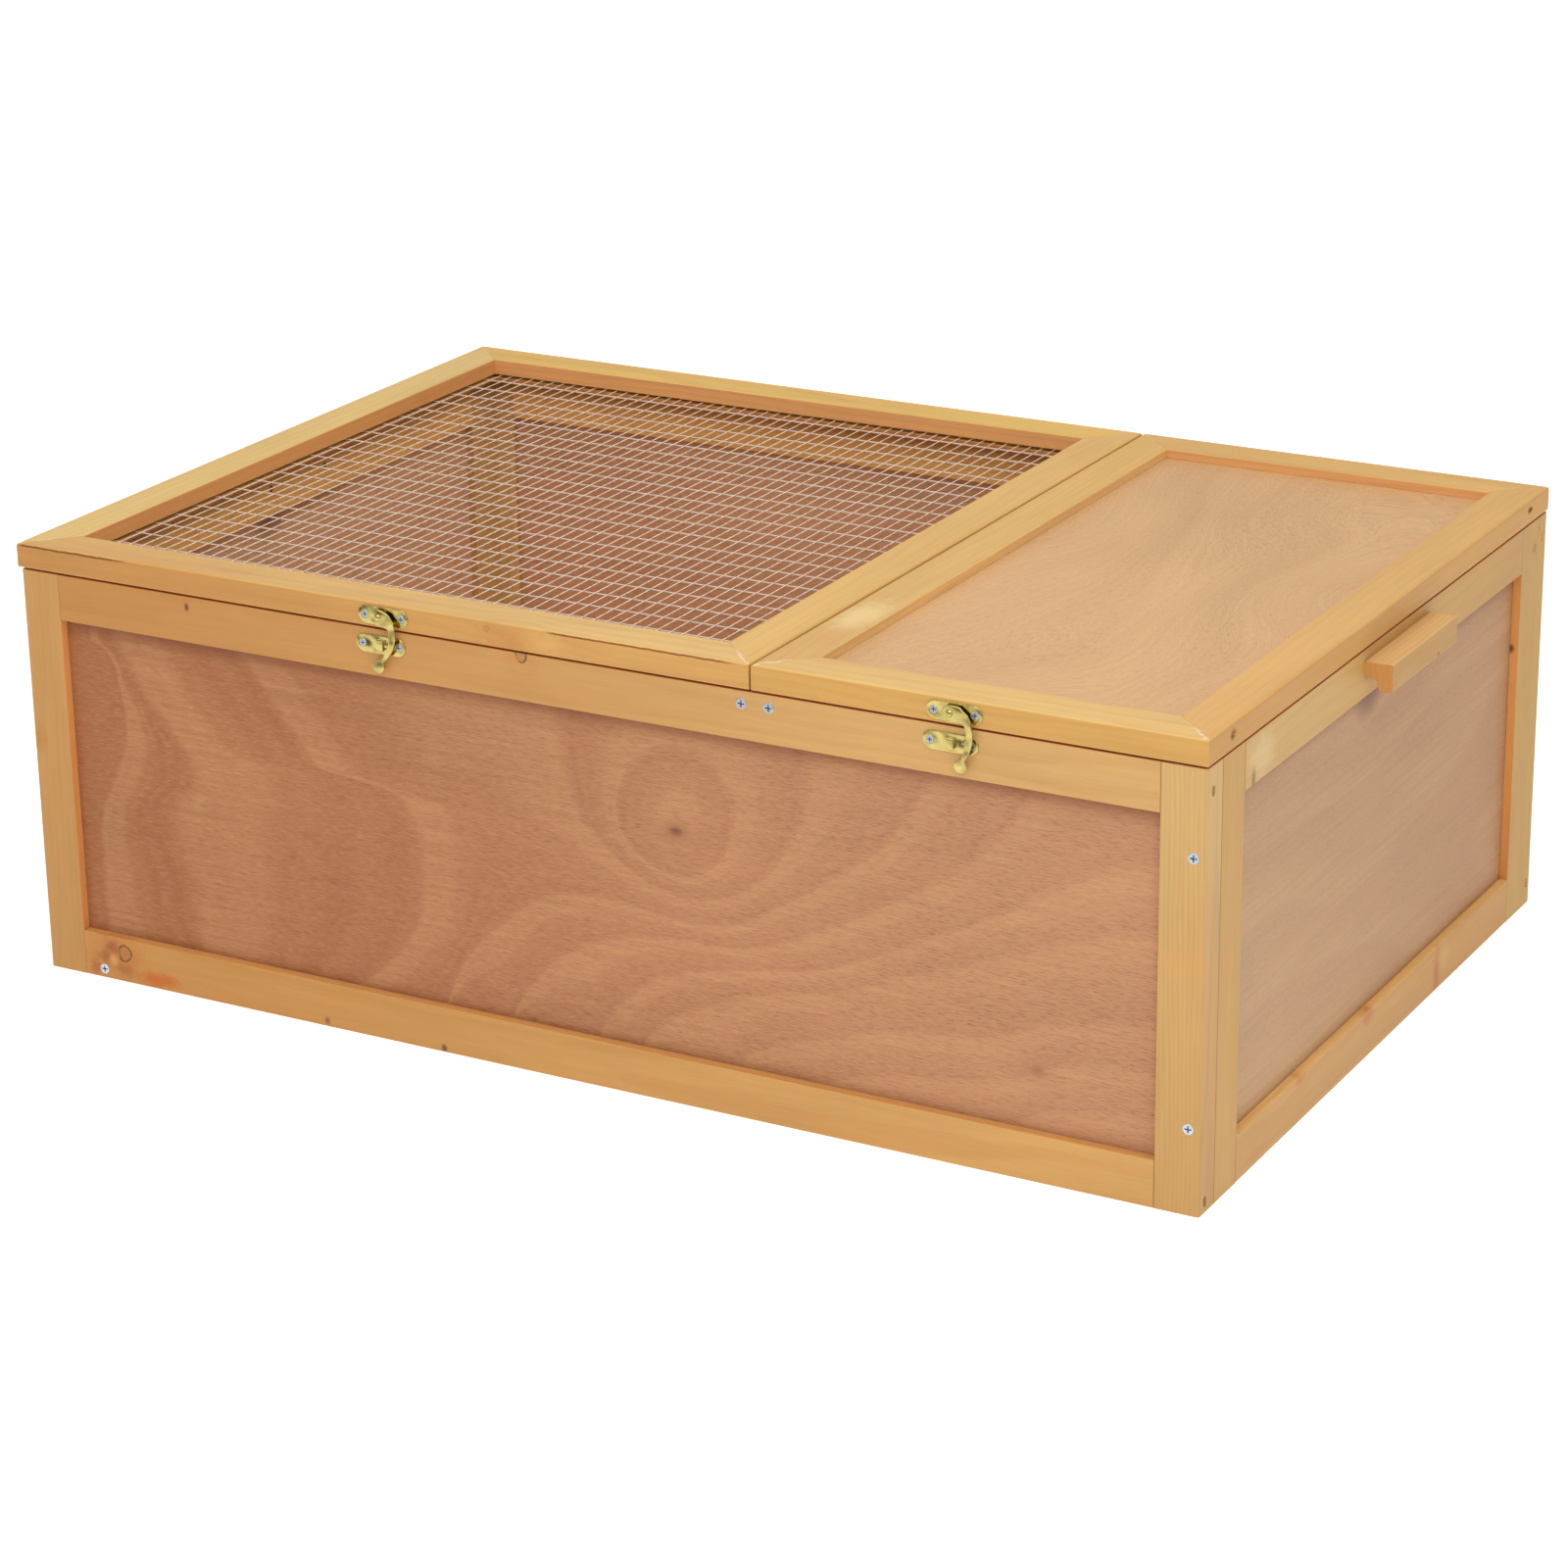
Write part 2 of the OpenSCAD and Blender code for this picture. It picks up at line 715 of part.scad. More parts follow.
// side is -1 for the leaf on the case and 1 for the leaf on the lid
module leaf_screw_places(side) {
    for (x = [-leaf_screw_spacing / 2, leaf_screw_spacing / 2])
        translate([x, leaf_t - hinge_off, side * leaf_screw_z]) rotate([-90, 0, 0]) children();
}

module hinge_leaf(side) {
    first = side < 0 ? 0 : 1;
    notch = knuckle_r + pass_gap;
    difference() {
        union() {
            translate([-hinge_w / 2, -hinge_off, side < 0 ? -leaf_h : 0]) cube([hinge_w, leaf_t, leaf_h]);
            for (i = [first : 2 : knuckle_count - 1])
                translate([-hinge_w / 2 + i * knuckle_w + knuckle_gap / 2, 0, 0]) rotate([0, 90, 0])
                    cylinder(h = knuckle_w - knuckle_gap, r = knuckle_r);
        }
        translate([-hinge_w / 2 - over, 0, 0]) rotate([0, 90, 0])
            cylinder(h = hinge_w + 2 * over, r = pin_d / 2 + pin_fit);
        for (i = [1 - first : 2 : knuckle_count - 1])
            translate([-hinge_w / 2 + i * knuckle_w, -hinge_off - over, -notch])
                cube([knuckle_w, hinge_reach + 2 * over, 2 * notch]);
        leaf_screw_places(side) small_screw_hole();
    }
}

module hinge_pin() {
    head_t = 0.8;
    half = hinge_w / 2 - knuckle_gap / 2;
    rotate([0, 90, 0]) translate([0, 0, -half - run_gap])
        cylinder(h = 2 * (half + run_gap), d = pin_d);
    for (x = [-half - run_gap - head_t, half + run_gap])
        translate([x, 0, 0]) rotate([0, 90, 0]) cylinder(h = head_t, r = knuckle_r - 0.4);
}

module case_hinge_leaves() color(zinc) {
    hinge_places(left_lid) hinge_leaf(-1);
    hinge_places(right_lid) hinge_leaf(-1);
}

module hinge_pins() color(zinc) {
    hinge_places(left_lid) hinge_pin();
    hinge_places(right_lid) hinge_pin();
}

module case_hinge_screws() color(zinc) {
    hinge_places(left_lid) leaf_screw_places(-1) small_screw();
    hinge_places(right_lid) leaf_screw_places(-1) small_screw();
}

// ---------- Lids. In each place x runs along the outer edge, y goes inwards and z is up from the underside ----------

module lid_front(lid) translate([lid[0], lid_y, lid_z]) children();
module lid_right(lid) translate([lid[0] + lid[1], lid_y, lid_z]) rotate([0, 0, 90]) children();
module lid_back(lid) translate([lid[0] + lid[1], lid_y + lid_d, lid_z]) rotate([0, 0, 180]) children();
module lid_left(lid) translate([lid[0], lid_y + lid_d, lid_z]) rotate([0, 0, -90]) children();

// Member with mitred ends and a groove in its inner edge
module lid_member(length, groove_z, groove_h) {
    cut = 1.5 * lid_member_w;
    difference() {
        rotate([90, 0, 90]) linear_extrude(length) difference() {
            soft_rect(lid_member_w, lid_t, [lid_ease, lid_ease, lid_ease, lid_round]);
            translate([lid_member_w - groove_depth, groove_z]) square([groove_depth + over, groove_h]);
        }
        rotate([0, 0, 45]) translate([-over, 0, -over]) cube([cut, cut, lid_t + 2 * over]);
        translate([length, 0, 0]) rotate([0, 0, 135]) translate([-over, -cut, -over])
            cube([cut, cut, lid_t + 2 * over]);
    }
}

module mesh_member(length) lid_member(length, kerf_z, kerf_h);
module panel_member(length) lid_member(length, lid_groove_z, lid_groove_h);

// Slanted brads that pull the mitres together, from the left and right edges of a lid
module lid_brad_places(lid) {
    brad_z = lid_t * 0.57;
    for (i = [0, 1]) {
        x = i == 0 ? lid_brad_inset : lid_d - lid_brad_inset;
        angle = i == 0 ? brad_angle : -brad_angle;
        lid_left(lid) translate([x, 0, brad_z]) rotate([0, 0, angle]) rotate([90, 0, 0]) children();
        lid_right(lid) translate([x, 0, brad_z]) rotate([0, 0, angle]) rotate([90, 0, 0]) children();
    }
}

module lid_hinge_holes(lid) hinge_places(lid) leaf_screw_places(1) small_screw_hole();

// Wires across an opening: as many whole pitches as come nearest, with half a pitch at each edge
function wire_count(span, pitch) = round(span / pitch);
function wire_place(span, pitch, i) = (i + 0.5) * span / wire_count(span, pitch);

module left_lid_front_member() color(pine) difference() {
    lid_front(left_lid) mesh_member(left_lid[1]);
    lid_brad_places(left_lid) brad_hole();
    at_latch(left_latch_x) lid_plate_screw_places() small_screw_hole();
}

module left_lid_back_member() color(pine) difference() {
    lid_back(left_lid) mesh_member(left_lid[1]);
    lid_brad_places(left_lid) brad_hole();
    lid_hinge_holes(left_lid);
}

module left_lid_left_member() color(pine) difference() {
    lid_left(left_lid) mesh_member(lid_d);
    lid_brad_places(left_lid) brad_hole();
}

module left_lid_right_member() color(pine) difference() {
    lid_right(left_lid) mesh_member(lid_d);
    lid_brad_places(left_lid) brad_hole();
}

module mesh_long_wires() color(zinc) {
    span = left_lid[1] - 2 * lid_member_w;
    for (i = [0 : wire_count(span, long_pitch) - 1])
        translate([
            left_lid[0] + lid_member_w + wire_place(span, long_pitch, i),
            lid_y + lid_member_w - panel_insert,
            lid_z + mesh_height + weld_gap + long_wire_d / 2
        ]) rotate([-90, 0, 0])
            cylinder(h = lid_d - 2 * (lid_member_w - panel_insert), d = long_wire_d, $fn = 16);
}

module mesh_cross_wires() color(zinc) {
    span = lid_d - 2 * lid_member_w;
    for (i = [0 : wire_count(span, cross_pitch) - 1])
        translate([
            left_lid[0] + lid_member_w - panel_insert,
            lid_y + lid_member_w + wire_place(span, cross_pitch, i),
            lid_z + mesh_height - weld_gap - cross_wire_d / 2
        ]) rotate([0, 90, 0])
            cylinder(h = left_lid[1] - 2 * (lid_member_w - panel_insert), d = cross_wire_d, $fn = 16);
}

module left_lid_brads() color(zinc) lid_brad_places(left_lid) brad();
module left_lid_hinge_leaves() color(zinc) hinge_places(left_lid) hinge_leaf(1);

module left_lid_screws() color(zinc) {
    hinge_places(left_lid) leaf_screw_places(1) small_screw();
    at_latch(left_latch_x) lid_plate_screw_places() small_screw();
}

module right_lid_front_member() color(pine) difference() {
    lid_front(right_lid) panel_member(right_lid[1]);
    lid_brad_places(right_lid) brad_hole();
    at_latch(right_latch_x) lid_plate_screw_places() small_screw_hole();
}

module right_lid_back_member() color(pine) difference() {
    lid_back(right_lid) panel_member(right_lid[1]);
    lid_brad_places(right_lid) brad_hole();
    lid_hinge_holes(right_lid);
}

module right_lid_left_member() color(pine) difference() {
    lid_left(right_lid) panel_member(lid_d);
    lid_brad_places(right_lid) brad_hole();
}

module right_lid_right_member() color(pine) difference() {
    lid_right(right_lid) panel_member(lid_d);
    lid_brad_places(right_lid) brad_hole();
}

module right_lid_panel() color(lid_ply) {
    edge = lid_member_w - panel_insert;
    translate([right_lid[0] + edge, lid_y + edge, lid_z + lid_groove_z + groove_fit])
        cube([right_lid[1] - 2 * edge, lid_d - 2 * edge, panel_t]);
}

module right_lid_brads() color(zinc) lid_brad_places(right_lid) brad();
module right_lid_hinge_leaves() color(zinc) hinge_places(right_lid) hinge_leaf(1);

module right_lid_screws() color(zinc) {
    hinge_places(right_lid) leaf_screw_places(1) small_screw();
    at_latch(right_latch_x) lid_plate_screw_places() small_screw();
}

// ---------- Latches, each drawn about its rivet with the front face of the case at y = 0 and outwards at -y ----------

module at_latch(latch_x) translate([x_left + latch_x, y_front, rivet_z]) children();

// Sheet metal outline in x and z, from the level back to the level front before the case
module sheet(back, front) translate([0, -back, 0]) rotate([90, 0, 0]) linear_extrude(front - back) children();

module lid_plate_screw_places() {
    for (side = [-1, 1])
        translate([lid_plate_shift + side * plate_screw_spacing / 2, -lid_front_lap - plate_t, 0])
            rotate([90, 0, 0]) children();
}

module catch_screw_places() {
    for (side = [-1, 1])
        translate([-catch_plate_shift + side * plate_screw_spacing / 2, -plate_t, -catch_drop])
            rotate([90, 0, 0]) children();
}

module catch_screw_holes() {
    at_latch(left_latch_x) catch_screw_places() small_screw_hole();
    at_latch(right_latch_x) catch_screw_places() small_screw_hole();
}

// Plate on the lid with a pressed boss that carries the hook clear of the bridge
module hook_plate() {
    boss_r = 3.6;
    difference() {
        union() {
            sheet(lid_front_lap, lid_front_lap + plate_t)
                translate([lid_plate_shift, 0]) stadium(plate_l, plate_h);
            sheet(lid_front_lap, arm_back - run_gap) circle(boss_r);
        }
        sheet(0, hook_reach) circle(rivet_d / 2 + pin_fit);
        lid_plate_screw_places() small_screw_hole();
    }
}

// Rivet from the back of the plate, with a domed head in front of the hook
module hook_rivet() {
    head_r = 2.4;
    dome_r = (head_r * head_r + rivet_head_t * rivet_head_t) / (2 * rivet_head_t);
    sheet(lid_front_lap, arm_front + run_gap) circle(rivet_d / 2);
    intersection() {
        sheet(arm_front + run_gap, hook_reach) circle(head_r);
        translate([0, dome_r - hook_reach, 0]) sphere(dome_r);
    }
}

// Plate on the case with a raised bridge over a window, open to the right and to the left
module catch_plate() {
    outer_h = slot_h + 2 * bridge_wall;
    difference() {
        union() {
            sheet(0, plate_t) translate([-catch_plate_shift, -catch_drop]) stadium(plate_l, plate_h);
            translate([bridge_right - bridge_w, 0, -catch_drop]) rotate([90, 0, 90]) linear_extrude(bridge_w)
                translate([-bridge_out, -outer_h / 2])
                    soft_rect(bridge_out, outer_h, [bridge_wall, 0.1, 0.1, bridge_wall]);
        }
        translate([bridge_right - bridge_w - over, -bridge_in, -catch_drop - slot_h / 2])
            cube([bridge_w + 2 * over, bridge_in - plate_t, slot_h]);
        translate([bridge_right - bridge_w, -bridge_in, -catch_drop - slot_h / 2])
            cube([bridge_w, bridge_in + over, slot_h]);
        catch_screw_places() small_screw_hole();
    }
}

module hook_outline() {
    difference() {
        intersection() {
            translate(arm_outer) circle(arm_outer_r, $fn = 96);
            polygon([[0, 0], [2, hook_head_r], [7, 4.8], [12, 0.6], [30, 0.6], [30, -31], [0, -31]]);
        }
        translate(arm_inner) circle(arm_inner_r, $fn = 96);
    }
    polygon([[0, hook_head_r], [3, hook_head_r - 0.1], [8, 3.9], [12, 0.4], [10.8, -6.6], [8.6, -4.9], [0, -hook_head_r]]);
    circle(hook_head_r);
    translate(paddle) circle(paddle_r);
}

// Hook arm with a finger that is set back to the level of the slot
module hook() {
    difference() {
        union() {
            sheet(arm_back, arm_front) hook_outline();
            rotate([0, hook_home, 0]) translate([0, 0, -catch_drop - finger_h / 2]) {
                translate([finger_tip, -finger_front, 0]) cube([finger_root - finger_tip, finger_t, finger_h]);
                translate([web_left, -arm_back - 0.2, 0])
                    cube([finger_root - web_left, arm_back + 0.2 - finger_back, finger_h]);
            }
        }
        sheet(0, hook_reach) circle(rivet_d / 2 + pin_fit);
    }
}

module left_catch_plate() color(brass) at_latch(left_latch_x) catch_plate();
module right_catch_plate() color(brass) at_latch(right_latch_x) catch_plate();

module catch_screws() color(zinc) {
    at_latch(left_latch_x) catch_screw_places() small_screw();
    at_latch(right_latch_x) catch_screw_places() small_screw();
}

module left_hook_plate() color(brass) at_latch(left_latch_x) hook_plate();
module left_hook_rivet() color(brass) at_latch(left_latch_x) hook_rivet();
module left_hook() color(brass) at_latch(left_latch_x) rotate([0, -left_hook_swing, 0]) hook();
module right_hook_plate() color(brass) at_latch(right_latch_x) hook_plate();
module right_hook_rivet() color(brass) at_latch(right_latch_x) hook_rivet();
module right_hook() color(brass) at_latch(right_latch_x) rotate([0, -right_hook_swing, 0]) hook();

front_left_stile();
front_right_stile();
front_top_rail();
front_bottom_rail();
front_panel();
back_left_stile();
back_right_stile();
back_top_rail();
back_bottom_rail();
back_panel();
left_front_stile();
left_back_stile();
left_top_rail();
left_bottom_rail();
left_panel();
right_front_stile();
right_back_stile();
right_top_rail();
right_bottom_rail();
right_panel();
floor_panel();
floor_joists();
lid_crossbar();
partition_panel();
partition_battens();
left_handle();
right_handle();
corner_dowels();
frame_brads();
case_screws();
left_catch_plate();
right_catch_plate();
catch_screws();
case_hinge_leaves();
hinge_pins();
case_hinge_screws();
left_lid_front_member();
left_lid_back_member();
left_lid_left_member();
left_lid_right_member();
mesh_long_wires();
mesh_cross_wires();
left_lid_brads();
left_lid_hinge_leaves();
left_lid_screws();
left_hook_plate();
left_hook_rivet();
left_hook();
right_lid_front_member();
right_lid_back_member();
right_lid_left_member();
right_lid_right_member();
right_lid_panel();
right_lid_brads();
right_lid_hinge_leaves();
right_lid_screws();
right_hook_plate();
right_hook_rivet();
right_hook();
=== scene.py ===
"""Looks, light and camera of the rabbit hutch. Lengths are metres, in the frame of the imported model."""
import math
import bpy
from mathutils import Matrix, Vector


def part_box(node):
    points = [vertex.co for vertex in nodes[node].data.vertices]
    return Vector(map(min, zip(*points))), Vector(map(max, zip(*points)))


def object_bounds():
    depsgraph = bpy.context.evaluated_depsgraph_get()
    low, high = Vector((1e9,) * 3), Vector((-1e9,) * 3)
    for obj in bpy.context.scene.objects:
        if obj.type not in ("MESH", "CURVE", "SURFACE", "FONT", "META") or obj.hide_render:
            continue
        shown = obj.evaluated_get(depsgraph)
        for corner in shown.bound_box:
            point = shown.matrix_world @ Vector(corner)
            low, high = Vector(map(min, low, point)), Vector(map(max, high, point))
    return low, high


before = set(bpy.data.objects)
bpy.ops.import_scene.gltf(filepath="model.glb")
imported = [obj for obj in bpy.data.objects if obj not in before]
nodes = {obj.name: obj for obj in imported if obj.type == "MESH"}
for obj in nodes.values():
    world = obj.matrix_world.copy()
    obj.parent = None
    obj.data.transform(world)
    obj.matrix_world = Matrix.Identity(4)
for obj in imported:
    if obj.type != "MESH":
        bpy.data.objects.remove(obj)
cad_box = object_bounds()

MM = 0.001

# ---------------------------------------------------------------- camera, light and floor
CAMERA_PLACE = Vector((1.42945, -2.576257, 1.208248))
CAMERA_AZIMUTH = math.radians(29.208)
CAMERA_ELEVATION = math.radians(20.35)
CAMERA_ROLL = math.radians(-0.821)
CAMERA_LENS_MM = 100.4
CAMERA_SENSOR_MM = 36
CAMERA_FAR = 200
# The surroundings as a light: brightness at two heights of the direction, from -1, down, to 1, straight up.
HORIZON_HEIGHT, HORIZON_LIGHT = -0.15, 0.20
CEILING_HEIGHT, CEILING_LIGHT = 0.75, 0.62
# The surroundings as polished metal mirrors them: (height of the direction, brightness).
MIRROR_BELTS = [(0.0, 0.10), (0.10, 0.03), (0.22, 0.85), (0.36, 0.90), (0.46, 0.08), (0.62, 0.12),
                (0.78, 0.95), (1.0, 1.0)]
MIRROR_STRENGTH = 1.3
BACKDROP_STRENGTH = 1.1
# Soft boxes turned to the middle of the hutch: (name, place, size, power, colour).
SOFT_BOXES = [
    ("ceiling", (0.45, -0.8, 2.5), 2.2, 36, (1.0, 0.985, 0.96)),
    ("front_right", (1.7, -2.5, 1.5), 1.8, 13, (1.0, 0.99, 0.97)),
    ("glint", (-1.2, -2.3, 0.9), 0.35, 1.5, (1.0, 0.99, 0.97)),
]
FLOOR_HALF = 60.0
FLOOR_DROP = 0.2 * MM
FLOOR_GREY = 0.93
FLOOR_ROUGHNESS = 0.8
FLOOR_SPECULAR = 0.1
FLOOR_GLOW = 0.52
# The floor as metal mirrors it: (y, brightness) far in front of the hutch and close to it.
FLOOR_IN_MIRRORS = ((-1.6, 0.10), (-0.75, 1.2))


def feed(tree, socket, value):
    """Links the output of another node, or sets a number or a colour."""
    if isinstance(value, bpy.types.NodeSocket):
        tree.links.new(value, socket)
    else:
        socket.default_value = value


def add_node(tree, kind, inputs=None):
    """A shader node with these inputs, by the name or the number of the socket."""
    node = tree.nodes.new("ShaderNode" + kind)
    for key, value in (inputs or {}).items():
        feed(tree, node.inputs[key], value)
    return node


def set_stops(ramp, stops):
    """Stops of a colour ramp are (place, grey)."""
    while len(ramp.elements) < len(stops):
        ramp.elements.new(0.5)
    for element, (place, grey) in zip(ramp.elements, stops):
        element.position = place
        element.color = (grey, grey, grey, 1)


def make_camera():
    """A long lens from the front right, a little above the lids."""
    azimuth, elevation = CAMERA_AZIMUTH, CAMERA_ELEVATION
    back = Vector((math.sin(azimuth) * math.cos(elevation),
                   -math.cos(azimuth) * math.cos(elevation),
                   math.sin(elevation)))
    right = Vector((0, 0, 1)).cross(back).normalized()
    up = back.cross(right)
    turned_right = right * math.cos(CAMERA_ROLL) + up * math.sin(CAMERA_ROLL)
    turned_up = up * math.cos(CAMERA_ROLL) - right * math.sin(CAMERA_ROLL)
    lens = bpy.data.cameras.new("camera")
    lens.lens = CAMERA_LENS_MM
    lens.sensor_width = CAMERA_SENSOR_MM
    lens.clip_end = CAMERA_FAR
    camera = bpy.data.objects.new("camera", lens)
    turn = Matrix((turned_right, turned_up, back)).transposed().to_4x4()
    camera.matrix_world = Matrix.Translation(CAMERA_PLACE) @ turn
    bpy.context.scene.collection.objects.link(camera)
    bpy.context.scene.camera = camera


def area_light(name, place, target, size, power, colour):
    """A square soft box at place, turned to target."""
    data = bpy.data.lights.new(name, "AREA")
    data.shape = "SQUARE"
    data.size = size
    data.energy = power
    data.color = colour
    light = bpy.data.objects.new(name, data)
    light.location = place
    light.rotation_mode = "QUATERNION"
    light.rotation_quaternion = (Vector(target) - Vector(place)).to_track_quat("-Z", "Y")
    bpy.context.scene.collection.objects.link(light)


def make_world():
    """White behind everything. What it lights gets a bright ceiling that fades to a dimmer horizon, and what
    polished metal mirrors is bright and dark belts."""
    world = bpy.data.worlds.new("studio")
    bpy.context.scene.world = world
    world.use_nodes = True
    tree = world.node_tree
    tree.nodes.clear()
    coordinates = add_node(tree, "TexCoord")
    split = add_node(tree, "SeparateXYZ", {0: coordinates.outputs["Generated"]})
    fade = add_node(tree, "MapRange", {
        "Value": split.outputs["Z"], "From Min": HORIZON_HEIGHT, "From Max": CEILING_HEIGHT,
        "To Min": HORIZON_LIGHT, "To Max": CEILING_LIGHT})
    lit = add_node(tree, "Background", {"Color": (1.0, 0.99, 0.98, 1), "Strength": fade.outputs[0]})
    belts = add_node(tree, "ValToRGB", {"Fac": split.outputs["Z"]})
    set_stops(belts.color_ramp, MIRROR_BELTS)
    mirrored = add_node(tree, "Background", {"Color": belts.outputs["Color"], "Strength": MIRROR_STRENGTH})
    seen = add_node(tree, "Background", {"Color": (1, 1, 1, 1), "Strength": BACKDROP_STRENGTH})
    path = add_node(tree, "LightPath")
    unseen = add_node(tree, "MixShader", {
        0: path.outputs["Is Glossy Ray"], 1: lit.outputs[0], 2: mirrored.outputs[0]})
    choose = add_node(tree, "MixShader", {
        0: path.outputs["Is Camera Ray"], 1: unseen.outputs[0], 2: seen.outputs[0]})
    add_node(tree, "OutputWorld", {0: choose.outputs[0]})


def make_floor():
    """A plain white light table, which metal mirrors dark far in front of the hutch."""
    turns = [(-1, -1), (1, -1), (1, 1), (-1, 1)]
    mesh = bpy.data.meshes.new("floor")
    floor_z = cad_box[0].z - FLOOR_DROP
    corners = [(FLOOR_HALF * x, FLOOR_HALF * y, floor_z) for x, y in turns]
    mesh.from_pydata(corners, [], [(0, 1, 2, 3)])
    floor = bpy.data.objects.new("floor", mesh)
    bpy.context.scene.collection.objects.link(floor)
    material = bpy.data.materials.new("white_floor")
    material.use_nodes = True
    tree = material.node_tree
    shader = tree.nodes["Principled BSDF"]
    looks = {"Base Color": (FLOOR_GREY, FLOOR_GREY, FLOOR_GREY, 1), "Roughness": FLOOR_ROUGHNESS,
             "Specular IOR Level": FLOOR_SPECULAR, "Emission Color": (1, 1, 1, 1),
             "Emission Strength": FLOOR_GLOW}
    for name, value in looks.items():
        shader.inputs[name].default_value = value
    coordinates = add_node(tree, "TexCoord")
    split = add_node(tree, "SeparateXYZ", {0: coordinates.outputs["Object"]})
    (far_y, dark), (near_y, bright) = FLOOR_IN_MIRRORS
    fade = add_node(tree, "MapRange", {
        "Value": split.outputs["Y"], "From Min": far_y, "From Max": near_y,
        "To Min": dark, "To Max": bright})
    fade.interpolation_type = "SMOOTHSTEP"
    mirrored = add_node(tree, "Emission", {"Color": (1.0, 0.97, 0.92, 1), "Strength": fade.outputs[0]})
    path = add_node(tree, "LightPath")
    choose = add_node(tree, "MixShader", {
        0: path.outputs["Is Glossy Ray"], 1: shader.outputs[0], 2: mirrored.outputs[0]})
    feed(tree, tree.nodes["Material Output"].inputs["Surface"], choose.outputs[0])
    mesh.materials.append(material)


# ---------------------------------------------------------------- node graphs
FEW_SAMPLES = 6
VARNISH_GLOSS = 0.22


def linear(red, green, blue):
    """A colour given as screen values 0 to 255, in the linear values that Blender wants."""
    def one(value):
        value = value / 255
        return value / 12.92 if value <= 0.04045 else ((value + 0.055) / 1.055) ** 2.4
    return (one(red), one(green), one(blue), 1.0)


class Graph:
    """One procedural material. Every call adds a node and gives its output."""

    def __init__(self, name):
        self.material = bpy.data.materials.new(name)
        self.material.use_nodes = True
        self.tree = self.material.node_tree
        self.shader = self.tree.nodes["Principled BSDF"]
        coordinates = self.node("TexCoord")
        self.place = coordinates.outputs["Object"]
        self.axis = self.letters(self.place)
        self.normal = self.letters(coordinates.outputs["Normal"])

    def node(self, kind, inputs=None):
        return add_node(self.tree, kind, inputs)

    def letters(self, vector):
        return dict(zip("xyz", self.node("SeparateXYZ", {0: vector}).outputs))

    def math(self, operation, *values, clamp=False):
        node = self.node("Math")
        node.operation = operation
        node.use_clamp = clamp
        for socket, value in zip(node.inputs, values):
            feed(self.tree, socket, value)
        return node.outputs[0]

    def add(self, first, *rest):
        for value in rest:
            first = self.math("ADD", first, value)
        return first

    def less(self, first, second):
        return self.math("SUBTRACT", first, second)

    def times(self, first, *rest):
        for value in rest:
            first = self.math("MULTIPLY", first, value)
        return first

    def over(self, first, second, clamp=False):
        return self.math("DIVIDE", first, second, clamp=clamp)

    def size(self, value):
        return self.math("ABSOLUTE", value)

    def length(self, *parts):
        """The root of the sum of their squares."""
        return self.math("SQRT", self.add(*[self.times(part, part) for part in parts]))

    def beyond(self, first, second):
        """By how much first is more than second, or 0."""
        return self.math("MAXIMUM", self.less(first, second), 0.0)

    def swing(self, noise, amount):
        """Noise from 0 to 1, as a swing of this amount about 0."""
        return self.times(self.less(noise, 0.5), amount)

    def smooth(self, value, start, end, low=0.0, high=1.0):
        """low at start, high at end, with a soft step between."""
        node = self.node("MapRange")
        node.interpolation_type = "SMOOTHSTEP"
        names = ("Value", "From Min", "From Max", "To Min", "To Max")
        for name, given in zip(names, (value, start, end, low, high)):
            feed(self.tree, node.inputs[name], given)
        return node.outputs[0]

    def facing(self, letter, sign, high=1.0):
        """high on the faces that look along this axis, or against it where sign is -1."""
        return self.smooth(self.times(self.normal[letter], sign), 0.5, 0.8, high=high)

    def vector(self, x, y, z):
        return self.node("CombineXYZ", {0: x, 1: y, 2: z}).outputs[0]

    def noise(self, place, scale, offset, detail=2.0, roughness=0.5, distortion=0.0):
        """Noise from 0 to 1, with scale spots to the metre, moved aside by offset."""
        spread = self.node("Mapping", {"Vector": place, "Location": offset, "Scale": scale})
        return self.node("TexNoise", {
            "Vector": spread.outputs[0], "Scale": 1.0, "Detail": detail, "Roughness": roughness,
            "Distortion": distortion}).outputs["Fac"]

    def ramp(self, value, stops, smooth=False):
        node = self.node("ValToRGB", {"Fac": value})
        node.color_ramp.interpolation = "EASE" if smooth else "LINEAR"
        set_stops(node.color_ramp, stops)
        return node.outputs["Color"]

    def curve(self, value, points):
        """A smooth curve through a few (input, output) points, both in metres."""
        first, last = points[0][0], points[-1][0]
        low = min(y for _, y in points)
        high = max(y for _, y in points)
        share = self.over(self.less(value, first), last - first, clamp=True)
        node = self.node("FloatCurve", {"Value": share})
        line = node.mapping.curves[0]
        while len(line.points) < len(points):
            line.points.new(0.5, 0.5)
        for point, (x, y) in zip(line.points, points):
            point.location = ((x - first) / (last - first), (y - low) / (high - low))
        node.mapping.update()
        return self.math("MULTIPLY_ADD", node.outputs[0], high - low, low)

    def mix(self, share, first, second):
        node = self.node("Mix")
        node.data_type = "RGBA"
        for number, value in ((0, share), (6, first), (7, second)):
            feed(self.tree, node.inputs[number], value)
        return node.outputs[2]

    def scale_colour(self, colour, factor):
        """The colour made darker or lighter by a factor."""
        node = self.node("VectorMath")
        node.operation = "SCALE"
        feed(self.tree, node.inputs[0], colour)
        feed(self.tree, node.inputs["Scale"], factor)
        return node.outputs[0]

